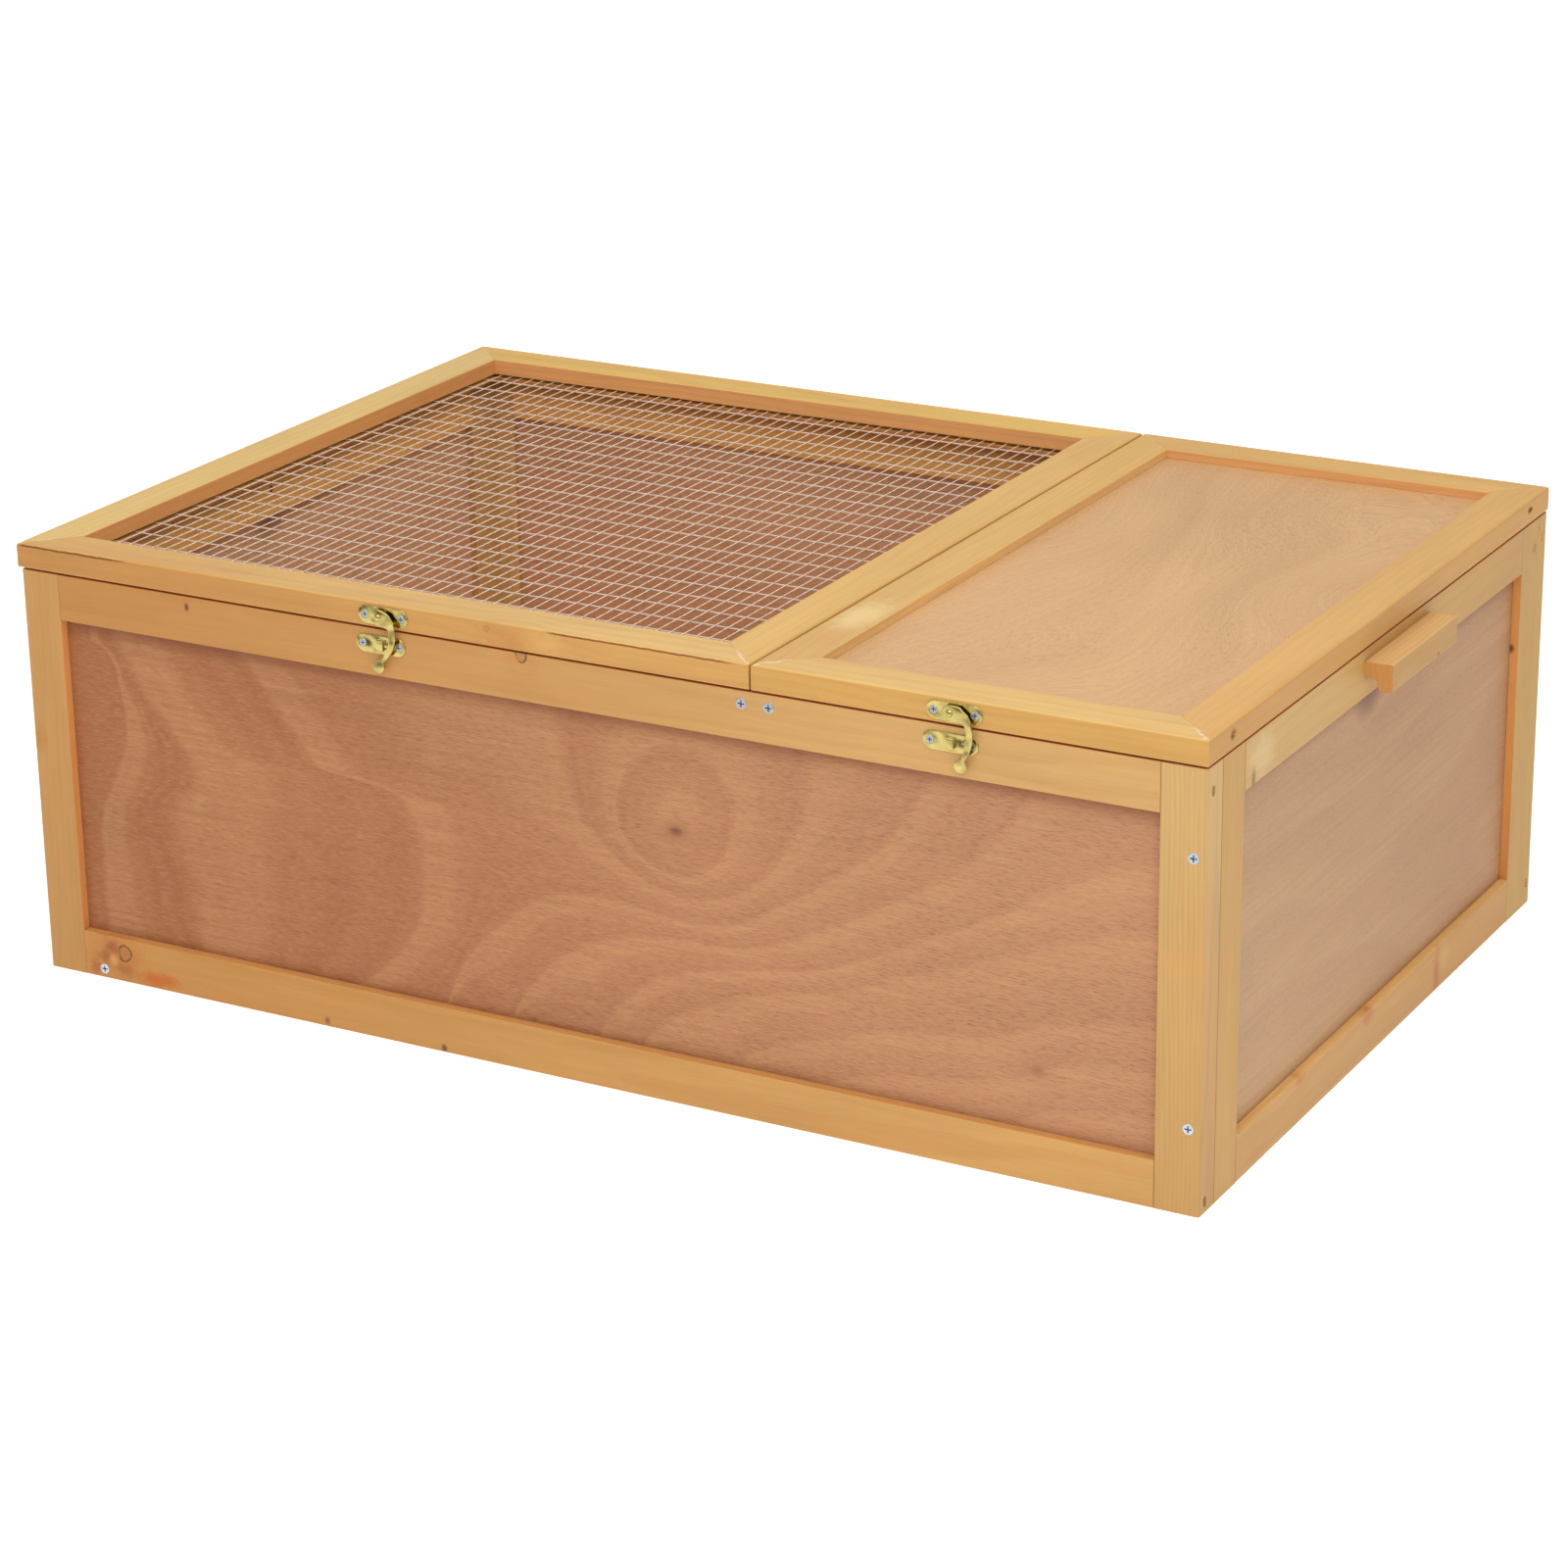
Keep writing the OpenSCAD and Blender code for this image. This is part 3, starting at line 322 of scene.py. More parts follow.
    def bump(self, height, distance, strength, rounding=0.0):
        """Small relief. rounding is the radius to which the edges look rounded off."""
        node = self.node("Bump", {"Strength": strength, "Distance": distance, "Height": height})
        if rounding:
            rounded = self.node("Bevel", {"Radius": rounding})
            rounded.samples = FEW_SAMPLES
            feed(self.tree, node.inputs["Normal"], rounded.outputs[0])
        feed(self.tree, self.shader.inputs["Normal"], node.outputs[0])

    def finish(self, colour, roughness, specular=VARNISH_GLOSS, metallic=0.0):
        looks = {"Base Color": colour, "Roughness": roughness, "Specular IOR Level": specular,
                 "Metallic": metallic}
        for name, value in looks.items():
            feed(self.tree, self.shader.inputs[name], value)
        return self.material


def dress(name, material):
    """The node takes this material."""
    mesh = nodes[name].data
    mesh.materials.clear()
    mesh.materials.append(material)


# ---------------------------------------------------------------- pine
LATEWOOD = linear(178, 116, 58)
ORANGE_WOOD = linear(226, 154, 88)
# Painted shade on the lip below the mesh.
UNDER_KERF_SHADE = linear(176, 110, 66)
END_GRAIN = linear(206, 140, 80)
KNOT_BROWN = linear(158, 104, 60)
KNOT_RIM = linear(104, 74, 40)
KNOT_HALO = linear(190, 122, 62)
PUTTY = linear(244, 222, 180)
# Narrow faces beside a panel: partly denser varnish and partly painted bounce light from the panel.
LIP_ORANGE = (222, 150, 86)
SEAM_BROWN = linear(112, 54, 26)
# Painted shade in the gap between case and lids.
GAP_SHADE_ORANGE = linear(202, 102, 46)
PINE_RELIEF = 0.25 * MM
CASE_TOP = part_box("front_top_rail")[1].z
# Painted shade in the gap: the level faces between case and lids turn a darker orange this near the outside,
# and it fades over the next few mm.
GAP_SHADE_REACH = 4 * MM
GAP_FADE = 3 * MM
GAP_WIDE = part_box("front_right_stile")[1].x - GAP_SHADE_REACH
GAP_DEEP = -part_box("front_top_rail")[0].y - GAP_SHADE_REACH
GAP_MIDDLE = (CASE_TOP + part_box("left_lid_front_member")[0].z) / 2
# Painted shade under the lid: the walls darken from this height up, to this share of their brightness.
LID_SHADE_START = CASE_TOP - 16 * MM
LID_SHADE_END = CASE_TOP - 2 * MM
LID_SHADE = 0.42
# The smear of putty starts to fade this far from the corner, and ends this far from it.
PUTTY_FADE = 6 * MM
PUTTY_END = 30 * MM
PUTTY_WIDTH = 16 * MM
PUTTY_LEAST = 0.01 * MM
CRACK_WAVER = 1.2 * MM
# How often the patterns repeat in a metre along the board, across it and into it.
SWAY_SCALE = (2.2, 14, 14)
WAVER_SCALE = (9, 60, 60)
PATCH_SCALE = (5, 26, 26)
FLAME_SCALE = (13, 75, 75)
FIBRE_SCALE = (22, 900, 900)
COARSE_SCALE = (6, 240, 240)
BLOT_SCALE = (150, 150, 150)
SWAY = 30 * MM
WAVER = 3.5 * MM
# Darkness across one year ring, from the pale early wood to the late wood.
RING_STOPS = [(0.0, 0.0), (0.45, 0.12), (0.86, 1.0), (0.93, 0.75), (1.0, 0.0)]


def blend_along(graph, colour, along, low, high):
    """One colour, or a pair that changes evenly from the low end of the board to its high end. The pair is
    partly the wood's own tone and partly painted light, paler towards the better lit end.
    """
    if not isinstance(colour[0], tuple):
        return linear(*colour)
    share = graph.smooth(along, low, high)
    return graph.mix(share, linear(*colour[0]), linear(*colour[1]))


def reach(graph, point, radii, blur=None):
    """Distance from a point of the frame, in radii of the ellipsoid."""
    parts = []
    for letter, centre, radius in zip("xyz", point, radii):
        apart = graph.less(graph.axis[letter], centre)
        if blur is not None:
            apart = graph.add(apart, blur)
        parts.append(graph.over(apart, radius))
    return graph.length(*parts)


def year_rings(graph, place, across, deep, heart_across, heart_deep, shift, spacing, knots):
    """Rings round the heart, pushed aside by knots: 0 in the pale early wood to 1 in the dark late wood."""
    sway = graph.noise(place, SWAY_SCALE, shift)
    waver = graph.noise(place, WAVER_SCALE, shift)
    from_heart = graph.length(graph.less(across, heart_across), graph.less(deep, heart_deep))
    radius = graph.add(from_heart, graph.times(sway, SWAY), graph.times(waver, WAVER))
    for point, size, *_ in knots:
        swell = graph.smooth(reach(graph, point, (size, size, size)), 5.0, 0.6)
        radius = graph.add(radius, graph.times(swell, size * 1.3))
    phase = graph.math("FRACT", graph.over(radius, spacing * MM))
    return graph.ramp(phase, RING_STOPS, smooth=True)


def add_knots(graph, colour, knots, blot):
    """Knots are (point, radius, strength of the dark rim, strength of the brown inside it)."""
    blur = graph.less(blot, 0.5)
    for point, size, rim, fill in knots:
        wobble = graph.times(blur, size * 0.9)
        distance = reach(graph, point, (size, size, size), wobble)
        halo = graph.smooth(distance, 3.6, 0.9, high=0.45 * fill)
        colour = graph.mix(halo, colour, KNOT_HALO)
        colour = graph.mix(graph.smooth(distance, 1.05, 0.75, high=fill), colour, KNOT_BROWN)
        near_rim = graph.size(graph.less(distance, 0.90))
        one_sided = graph.smooth(blot, 0.30, 0.55, 0.35, 1.0)
        on_rim = graph.times(graph.smooth(near_rim, 0.18, 0.03, high=rim), one_sided)
        colour = graph.mix(on_rim, colour, KNOT_RIM)
    return colour


def add_stains_and_shade(graph, colour, stains_and_shade, blot):
    """Stain marks and painted shade, such as a cast shadow or the dark of a nail hole, are (point, three
    radii, colour, strength), with ragged edges.
    """
    for point, radii, shade, strength in stains_and_shade:
        ragged = graph.swing(blot, 1.1)
        distance = graph.add(reach(graph, point, radii), ragged)
        colour = graph.mix(graph.smooth(distance, 1.35, 0.25, high=strength), colour, linear(*shade))
    return colour


def add_lines(graph, colour, lines, blot):
    """Hairlines where boards meet or crack: (axis, place, width, strength). A crack, which wavers and runs
    only part of the way, has also its (axis, start, end)."""
    for letter, where, width, strength, *part in lines:
        apart = graph.less(graph.axis[letter], where)
        if part:
            apart = graph.add(apart, graph.swing(blot, CRACK_WAVER))
        shade = graph.smooth(graph.size(apart), width, width * 0.3, high=strength)
        if part:
            other, start, end = part
            after = graph.smooth(graph.axis[other], start, start + 0.006)
            before = graph.smooth(graph.axis[other], end, end - 0.02)
            shade = graph.times(shade, after, before)
        colour = graph.mix(shade, colour, SEAM_BROWN)
    return colour


def add_putty(graph, colour, mitres, blot):
    """A pale smear near the outer end of each mitre, and the fine line of the joint all along it. Mitres are
    (x, y of the outer corner, 1 or -1 for the way the joint slants, strength of the smear)."""
    for corner_x, corner_y, side, amount in mitres:
        off_x = graph.less(graph.axis["x"], corner_x)
        off_y = graph.less(graph.axis["y"], corner_y)
        line = graph.size(graph.add(off_x, graph.times(off_y, side)))
        near = graph.smooth(graph.size(off_x), PUTTY_END, PUTTY_FADE)
        width = graph.times(graph.less(blot, 0.36), near, PUTTY_WIDTH)
        width = graph.math("MAXIMUM", width, PUTTY_LEAST)
        smear = graph.smooth(line, width, graph.times(width, 0.3), high=amount)
        top = graph.smooth(graph.normal["z"], 0.6, 0.9)
        colour = graph.mix(graph.times(smear, top), colour, PUTTY)
        joint = graph.smooth(line, 0.0007, 0.0002, high=0.30)
        colour = graph.mix(graph.times(joint, top), colour, SEAM_BROWN)
    return colour


def gap_shade_share(graph):
    """How much painted shade darkens the level faces between case and lids, near the front and the sides."""
    meeting = graph.smooth(graph.size(graph.less(graph.axis["z"], GAP_MIDDLE)), 0.0012, 0.0009)
    level = graph.smooth(graph.size(graph.normal["z"]), 0.7, 0.9, high=0.7)
    at_front = graph.smooth(graph.axis["y"], GAP_FADE - GAP_DEEP, -GAP_DEEP)
    at_side = graph.smooth(graph.size(graph.axis["x"]), GAP_WIDE - GAP_FADE, GAP_WIDE)
    return graph.times(meeting, level, graph.math("MAXIMUM", at_front, at_side))


def add_lip(graph, colour, lip, shade, kerf):
    """The narrow face beside a panel, its colour partly denser varnish and partly painted bounce light, and
    in a lid with a mesh the saw cut in it at the height kerf, with painted shade on the face below the cut.
    """
    turned = graph.facing(*lip, high=0.8)
    colour = graph.mix(turned, colour, linear(*shade))
    if kerf:
        # Painted shade on the lip below the mesh.
        below = graph.less(kerf, graph.axis["z"])
        colour = graph.mix(graph.times(turned, graph.smooth(below, 0.0, 0.0005)), colour, UNDER_KERF_SHADE)
        cut = graph.smooth(graph.size(below), 0.0008, 0.0002, high=0.8)
        colour = graph.mix(graph.times(turned, cut), colour, SEAM_BROWN)
    return colour


def pine(name, axes, seed, colour, heart=(0.0, -0.05), spacing=5.0, grain=0.25, mottle=1.0, upright_shade=None,
         inside=None, lip=None, lip_colour=LIP_ORANGE, kerf=None, knots=(), stains_and_shade=(), lines=(), putty=()):
    """Makes the node of this name a varnished pine board. axes gives its length, its width on the face that
    shows and its depth, such as "xzy". colour is one, or a pair for its low and its high end, the pair
    partly the wood's own tone and partly painted light. heart is the middle of the year rings from the
    board's own middle, spacing is theirs in mm, grain their strength and mottle that of the clouds.
    upright_shade is the colour of the faces that do not look up, a painted shade darker than the tops.
    inside is the (axis, sign, colour) of the face that looks into the hutch, paler partly as bare wood and
    partly as painted light, with painted shade where the lid hangs over it. lip is the (axis, sign) of the
    narrow face beside a panel, its colour partly denser varnish and partly painted bounce light, and kerf
    the height of the saw cut for the mesh in it."""
    graph = Graph(name)
    low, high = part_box(name)
    middle = dict(zip("xyz", (low + high) / 2))
    along, across, deep = (graph.axis[letter] for letter in axes)
    place = graph.vector(along, across, deep)
    shift = (seed * 3.7, seed * 1.9, seed * 5.3)
    late = year_rings(graph, place, across, deep, middle[axes[1]] + heart[0], middle[axes[2]] + heart[1],
                      shift, spacing, knots)
    turned_shift = (shift[1], shift[2], shift[0])
    patches = graph.noise(place, PATCH_SCALE, turned_shift, detail=3, roughness=0.55)
    flames = graph.noise(place, FLAME_SCALE, shift, distortion=0.6)
    fibre = graph.noise(place, FIBRE_SCALE, shift, detail=3, roughness=0.6)
    coarse = graph.noise(place, COARSE_SCALE, shift)
    blot = graph.noise(graph.place, BLOT_SCALE, shift, detail=3)

    ends = [dict(zip("xyz", corner))[axes[0]] for corner in (low, high)]
    colour_now = blend_along(graph, colour, along, *ends)
    # Painted shade: the faces that do not look up take a darker colour than the tops.
    if upright_shade:
        sideways = graph.smooth(graph.size(graph.normal["z"]), 0.75, 0.35)
        colour_now = graph.mix(sideways, colour_now, blend_along(graph, upright_shade, along, *ends))
    if lip:
        colour_now = add_lip(graph, colour_now, lip, lip_colour, kerf)
    # Faces inside the hutch: paler, partly as bare wood and partly as painted light, with painted shade
    # under the lid.
    if inside:
        letter, sign, shade = inside
        turned = graph.facing(letter, sign)
        under_lid = graph.smooth(graph.axis["z"], LID_SHADE_START, LID_SHADE_END, 1.0, LID_SHADE)
        colour_now = graph.mix(turned, colour_now, graph.scale_colour(linear(*shade)[:3], under_lid))
    # Painted shade in the gap between case and lids.
    colour_now = graph.mix(gap_shade_share(graph), colour_now, GAP_SHADE_ORANGE)
    cut_end = graph.smooth(graph.size(graph.normal[axes[0]]), 0.75, 0.95, high=0.6)
    colour_now = graph.mix(cut_end, colour_now, END_GRAIN)

    colour_now = graph.mix(graph.times(late, grain), colour_now, LATEWOOD)
    orange = graph.smooth(patches, 0.52, 0.80, high=0.25 * mottle)
    colour_now = graph.mix(orange, colour_now, ORANGE_WOOD)
    swings = [(fibre, 0.15), (coarse, 0.10), (flames, 0.12 * mottle), (patches, -0.22 * mottle)]
    lightness = graph.add(1.0, *[graph.swing(noise, amount) for noise, amount in swings])
    colour_now = graph.scale_colour(colour_now, lightness)

    colour_now = add_stains_and_shade(graph, colour_now, stains_and_shade, blot)
    colour_now = add_knots(graph, colour_now, knots, blot)
    colour_now = add_putty(graph, colour_now, putty, blot)
    colour_now = add_lines(graph, colour_now, lines, blot)

    graph.bump(graph.add(fibre, graph.times(late, 0.5 * grain)), PINE_RELIEF, 0.25)
    dress(name, graph.finish(colour_now, graph.smooth(coarse, 0.2, 0.8, 0.42, 0.52)))


# ---------------------------------------------------------------- plywood
PLY_KNOT = linear(122, 70, 58)
# Painted shade under the upper rail of a panel.
RAIL_SHADE = linear(122, 66, 42)
PLY_ROUGHNESS = 0.46
PLY_RELIEF = 0.15 * MM
# How often the patterns repeat in a metre along the sheet, across it and into it.
BEND_SCALE = (2.6, 9, 9)
HILL_SCALE = (1.5, 3.5, 3.5)
WOBBLE_SCALE = (9, 22, 22)
SWIRL_SCALE = (3.2, 5.0, 1)
PORE_SCALE = (140, 1700, 1700)
FINE_SCALE = (300, 3000, 3000)
STREAK_SCALE = (9, 300, 300)
CLOUD_SCALE = (4, 9, 9)
# Paleness across one year ring, and across the four fainter bands in it.
BAND_STOPS = [(0.0, 0.42), (0.12, 0.90), (0.34, 0.80), (0.55, 0.50), (0.78, 0.32), (0.92, 0.28), (1.0, 0.42)]
FINE_BAND_STOPS = [(0.0, 0.6), (0.2, 1.0), (0.8, 0.0), (1.0, 0.6)]


def flat_rings(graph, place, across, shift):
    """Year rings of a panel with no knot: a slow wavy count from one edge to the other."""
    bend = graph.noise(place, BEND_SCALE, shift)
    hills = graph.noise(place, HILL_SCALE, (shift[1], shift[0], shift[2]))
    count = graph.add(graph.times(across, 6.0), graph.times(hills, 3.4), graph.times(bend, 0.8))
    return graph.times(count, 1.7)


# Ring edges on the front panel, as height over distance along the hutch, from the highest to the lowest.
FRONT_RINGS = [
    [(-0.115, 0.030), (-0.090, 0.080), (-0.060, 0.110), (-0.025, 0.130), (0.020, 0.135), (0.060, 0.130),
     (0.095, 0.130), (0.120, 0.137), (0.150, 0.155), (0.190, 0.182), (0.225, 0.210), (0.255, 0.255),
     (0.285, 0.310)],
    [(-0.065, 0.025), (-0.040, 0.068), (-0.015, 0.092), (0.025, 0.110), (0.070, 0.115), (0.110, 0.117),
     (0.150, 0.128), (0.190, 0.147), (0.225, 0.168), (0.265, 0.192), (0.300, 0.222), (0.325, 0.255),
     (0.355, 0.300)],
    [(0.005, 0.025), (0.025, 0.060), (0.050, 0.082), (0.085, 0.095), (0.125, 0.103), (0.190, 0.118),
     (0.240, 0.142), (0.290, 0.167), (0.340, 0.196), (0.375, 0.215), (0.420, 0.230)],
    [(0.035, 0.020), (0.060, 0.055), (0.095, 0.075), (0.135, 0.088), (0.180, 0.097), (0.225, 0.115),
     (0.300, 0.145), (0.370, 0.172), (0.420, 0.185)],
    [(0.115, 0.015), (0.125, 0.045), (0.145, 0.056), (0.180, 0.066), (0.225, 0.080), (0.260, 0.085),
     (0.300, 0.090), (0.350, 0.110), (0.420, 0.120)],
]
# Ring edges left of the knot, as distance along the hutch over height, from left to right.
FRONT_FLAMES = [
    [(0.020, -0.400), (0.100, -0.405), (0.150, -0.388), (0.210, -0.375), (0.250, -0.400)],
    [(0.020, -0.315), (0.055, -0.330), (0.080, -0.334), (0.110, -0.345), (0.135, -0.346), (0.163, -0.327),
     (0.197, -0.340), (0.225, -0.363), (0.265, -0.385)],
    [(0.020, -0.215), (0.045, -0.172), (0.072, -0.148), (0.105, -0.133), (0.140, -0.132), (0.168, -0.139),
     (0.181, -0.161), (0.187, -0.218), (0.210, -0.234), (0.260, -0.275)],
]
# The knot of the front panel as (x, z), and the rings round it as ((x, z) of the middle, half sizes).
FRONT_KNOT = (0.071, 0.191)
INNER_OVAL = ((0.071, 0.203), (0.042, 0.042))
OUTER_OVAL = ((0.078, 0.250), (0.090, 0.104))
# How far apart the rings are past the last of the edges, below them and on their right.
PITCH_BELOW = 0.03
PITCH_RIGHT = 0.05
NEVER_ZERO = 0.0001


def front_rings(graph, place, _, shift):
    """Year rings of the front panel: two ovals round a knot, S shapes below them, flames on the left. They
    follow the board's own x and z, not the distance across it that flat_rings counts."""
    wobble = graph.swing(graph.noise(place, WOBBLE_SCALE, shift), 0.010)
    x, z = graph.add(graph.axis["x"], wobble), graph.add(graph.axis["z"], wobble)

    def oval(shape):
        (middle_x, middle_z), (half_x, half_z) = shape
        across_x = graph.over(graph.less(x, middle_x), half_x)
        up_z = graph.over(graph.less(z, middle_z), half_z)
        return graph.length(across_x, up_z)

    def share(part, whole):
        return graph.over(part, whole, clamp=True)

    edges = [graph.curve(x, points) for points in FRONT_RINGS]
    flames = [graph.curve(z, points) for points in FRONT_FLAMES]
    count = 0.0
    for left, right in zip(flames, flames[1:]):
        count = graph.add(count, share(graph.less(x, left), graph.less(right, left)))
    beyond = share(graph.less(x, flames[-1]), PITCH_RIGHT)

    inner, outer = oval(INNER_OVAL), oval(OUTER_OVAL)
    above = graph.beyond(z, edges[0])
    outside = graph.beyond(outer, 1.0)
    rise = share(above, graph.add(above, graph.times(outside, 0.1), NEVER_ZERO))
    count = graph.add(count, graph.times(beyond, graph.less(1.0, rise)))
    within = graph.beyond(1.0, outer)
    between = graph.beyond(inner, 1.0)
    count = graph.less(count, share(within, graph.add(within, graph.times(between, 0.5), NEVER_ZERO)))
    count = graph.less(count, graph.beyond(1.0, inner))
    for higher, lower in zip(edges, edges[1:]):
        count = graph.add(count, share(graph.less(higher, z), graph.less(higher, lower)))
    return graph.add(count, graph.over(graph.beyond(edges[-1], z), PITCH_BELOW))


def add_ply_knots(graph, colour, knots, axes, pores, dark):
    """Knots are (along, across, radius, strength) in the sheet."""
    along, across = graph.axis[axes[0]], graph.axis[axes[1]]
    ragged = graph.swing(pores, 1.4)
    for centre, height, size, strength in knots:
        off_along = graph.over(graph.less(along, centre), size * 1.5)
        off_across = graph.over(graph.less(across, height), size)
        distance = graph.add(graph.length(off_along, off_across), ragged)
        colour = graph.mix(graph.smooth(distance, 3.2, 0.6, high=0.5 * strength), colour, dark)
        colour = graph.mix(graph.smooth(distance, 1.3, 0.2, high=strength), colour, PLY_KNOT)
    return colour


def add_border(graph, colour, border, axes, cloud, frame_shade):
    """Painted shade: darker along the frame, where the panel meets it, and the soft red shade under the
    upper rail.
    """
    (low_along, high_along), (low_across, high_across) = border
    along, across = graph.axis[axes[0]], graph.axis[axes[1]]
    under_rail = graph.less(high_across, across)
    sides = graph.math("MINIMUM", graph.less(along, low_along), graph.less(high_along, along))
    inset = graph.math("MINIMUM", sides, graph.less(across, low_across))
    uneven = graph.swing(cloud, 0.010)
    # Painted shade along the frame.
    colour = graph.scale_colour(colour, graph.smooth(graph.add(inset, uneven), 0.0, 0.009, frame_shade, 1.0))
    share = graph.smooth(graph.add(under_rail, uneven), 0.015, 0.0, high=0.62)
    return graph.mix(share, colour, RAIL_SHADE)


def plywood(name, axes, seed, colour, dark, pale, dashes=0.5, bands=0.4, flow=0.0, rings=flat_rings,
            knots=(), border=None, frame_shade=0.86, inside=None, stains_and_shade=()):
    """Makes the node of this name rotary-cut plywood. dashes is the strength of the short dark pores along
    the grain, bands that of the soft bands where the knife crossed the rings, and flow the sway of both.
    border is the open rectangle of the sheet, (low, high) in each flat axis, and frame_shade how dark the
    painted shade gets there. inside is the (axis, sign, colour) of the face that looks into the hutch, paler
    partly as bare wood and partly as painted light."""
    graph = Graph(name)
    low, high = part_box(name)
    along, across, deep = (graph.axis[letter] for letter in axes)
    ends = [dict(zip("xyz", corner))[axes[0]] for corner in (low, high)]
    shift = (seed * 2.3, seed * 4.1, seed * 1.7)
    if flow:
        flat = graph.vector(along, across, 0.0)
        swirl = graph.noise(flat, SWIRL_SCALE, shift, detail=1)
        across = graph.add(across, graph.times(swirl, flow))
    place = graph.vector(along, across, deep)
    count = graph.add(rings(graph, place, across, shift), 20.0)
    band = graph.ramp(graph.math("FRACT", count), BAND_STOPS, smooth=True)
    fine_band = graph.ramp(graph.math("FRACT", graph.times(count, 4.0)), FINE_BAND_STOPS)
    pores = graph.noise(place, PORE_SCALE, shift, roughness=0.6)
    short = graph.smooth(pores, 0.50, 0.70)
    bright = graph.smooth(pores, 0.48, 0.30)
    fine = graph.noise(place, FINE_SCALE, shift, detail=1)
    streaks = graph.noise(place, STREAK_SCALE, shift, detail=3)
    cloud_shift = (shift[2], shift[1], shift[0])
    cloud = graph.noise(place, CLOUD_SCALE, cloud_shift, detail=3, roughness=0.5)
    in_dark_bands = graph.smooth(band, 0.0, 1.0, 1.0, 0.7)
    crowd = graph.times(graph.smooth(cloud, 0.3, 0.7, 0.65, 1.0), in_dark_bands)

    colour_now = blend_along(graph, colour, along, *ends)
    # Faces inside the hutch: paler, partly as bare wood and partly as painted light.
    if inside:
        letter, sign, shade = inside
        turned = graph.facing(letter, sign)
        colour_now = graph.mix(turned, colour_now, linear(*shade))
    dark, pale = linear(*dark), linear(*pale)
    uneven_bands = graph.times(graph.smooth(streaks, 0.30, 0.65, 0.55, 1.0), bands)
    colour_now = graph.mix(graph.times(graph.smooth(band, 0.40, 0.0), uneven_bands), colour_now, dark)
    colour_now = graph.mix(graph.times(graph.smooth(band, 0.40, 1.0), uneven_bands), colour_now, pale)
    colour_now = graph.mix(graph.times(fine_band, 0.25 * bands), colour_now, pale)
    colour_now = graph.mix(graph.times(short, crowd, dashes), colour_now, dark)
    colour_now = graph.mix(graph.times(bright, 0.5 * dashes), colour_now, pale)
    colour_now = add_ply_knots(graph, colour_now, knots, axes, pores, dark)
    swings = [(fine, 0.36 * dashes), (cloud, -0.26), (streaks, 0.20)]
    lightness = graph.add(1.0, *[graph.swing(noise, amount) for noise, amount in swings])
    colour_now = graph.scale_colour(colour_now, lightness)
    colour_now = add_stains_and_shade(graph, colour_now, stains_and_shade, cloud)
    if border:
        framed = add_border(graph, colour_now, border, axes, cloud, frame_shade)
        colour_now = graph.mix(turned, framed, colour_now) if inside else framed
    graph.bump(graph.add(graph.times(short, -1.0), fine), PLY_RELIEF, 0.2)
    dress(name, graph.finish(colour_now, PLY_ROUGHNESS))


# ---------------------------------------------------------------- metals
ZINC = (200, 211, 226)
RECESS_REACH = 1.4 * MM
UNEVEN_SCALE = (180, 180, 180)
DENT_SCALE = (85, 85, 85)
# Screws nearer than this to the middle of the hutch, front to back, are inside it.
INDOORS = 0.26


def metal(name, colour, roughness, dents=0.0, metallic=1.0, rounding=0.0, recess_shade=1.0, varnish=None):
    """Plated metal with a faintly uneven surface. rounding softens how its edges catch the light,
    recess_shade darkens what lies in a corner or a slot, and varnish is the colour of the screws inside the
    hutch, which were varnished over with the walls."""
    graph = Graph(name)
    place = graph.place
    patches = graph.noise(place, UNEVEN_SCALE, (3, 1, 2), detail=3)
    lightness = graph.smooth(patches, 0.25, 0.75, 0.88, 1.08)
    if recess_shade < 1:
        corners = graph.node("AmbientOcclusion", {"Distance": RECESS_REACH})
        corners.samples = FEW_SAMPLES
        open_share = graph.smooth(corners.outputs["AO"], 0.35, 0.95, recess_shade, 1.0)
        lightness = graph.times(lightness, open_share)
    shade = graph.scale_colour(linear(*colour)[:3], lightness)
    if varnish:
        indoors = graph.smooth(graph.size(graph.axis["y"]), INDOORS + 0.01, INDOORS, high=0.85)
        shade = graph.mix(indoors, shade, linear(*varnish))
    rough = graph.smooth(patches, 0.3, 0.8, roughness * 0.8, roughness * 1.25)
    if dents:
        waves = graph.noise(place, DENT_SCALE, (5, 5, 5), detail=1)
        graph.bump(waves, dents, 0.8, rounding)
    return graph.finish(shade, rough, 0.5, metallic)


# ---------------------------------------------------------------- the pieces
FRONT_STILE_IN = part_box("front_left_stile")[1].x
FRONT_FRAME_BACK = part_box("front_left_stile")[1].y
SIDE_STILE_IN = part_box("right_front_stile")[1].y
BACK_STILE_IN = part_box("right_back_stile")[0].y
BACK_WALL_STILE_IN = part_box("back_left_stile")[1].x
RAIL_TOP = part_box("front_bottom_rail")[1].z
TOP_RAIL_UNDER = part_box("front_top_rail")[0].z
FRONT_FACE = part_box("front_top_rail")[0].y
LID_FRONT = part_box("left_lid_front_member")[0].y
LID_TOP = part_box("left_lid_front_member")[1].z
# Faces inside the hutch: paler than outside, partly as bare wood and partly as painted light.
INNER_PINE = (240, 190, 112)
INNER_OLIVE = (214, 173, 112)
INNER_LIP = (196, 150, 96)
INNER_PLY = (225, 178, 139)
INNER_BACK_PLY = (208, 159, 123)
PLAIN_PINE = (216, 170, 110)
SEAM = 0.6 * MM
# Sunk nail heads: the painted shade in their holes, and how far behind the lid's front the one in its side
# sits.
NAIL_HOLE_SHADE = (92, 58, 32)
NAIL_SETBACK = 36.3 * MM
FRONT_PUTTY = 0.75
BACK_PUTTY = 0.2


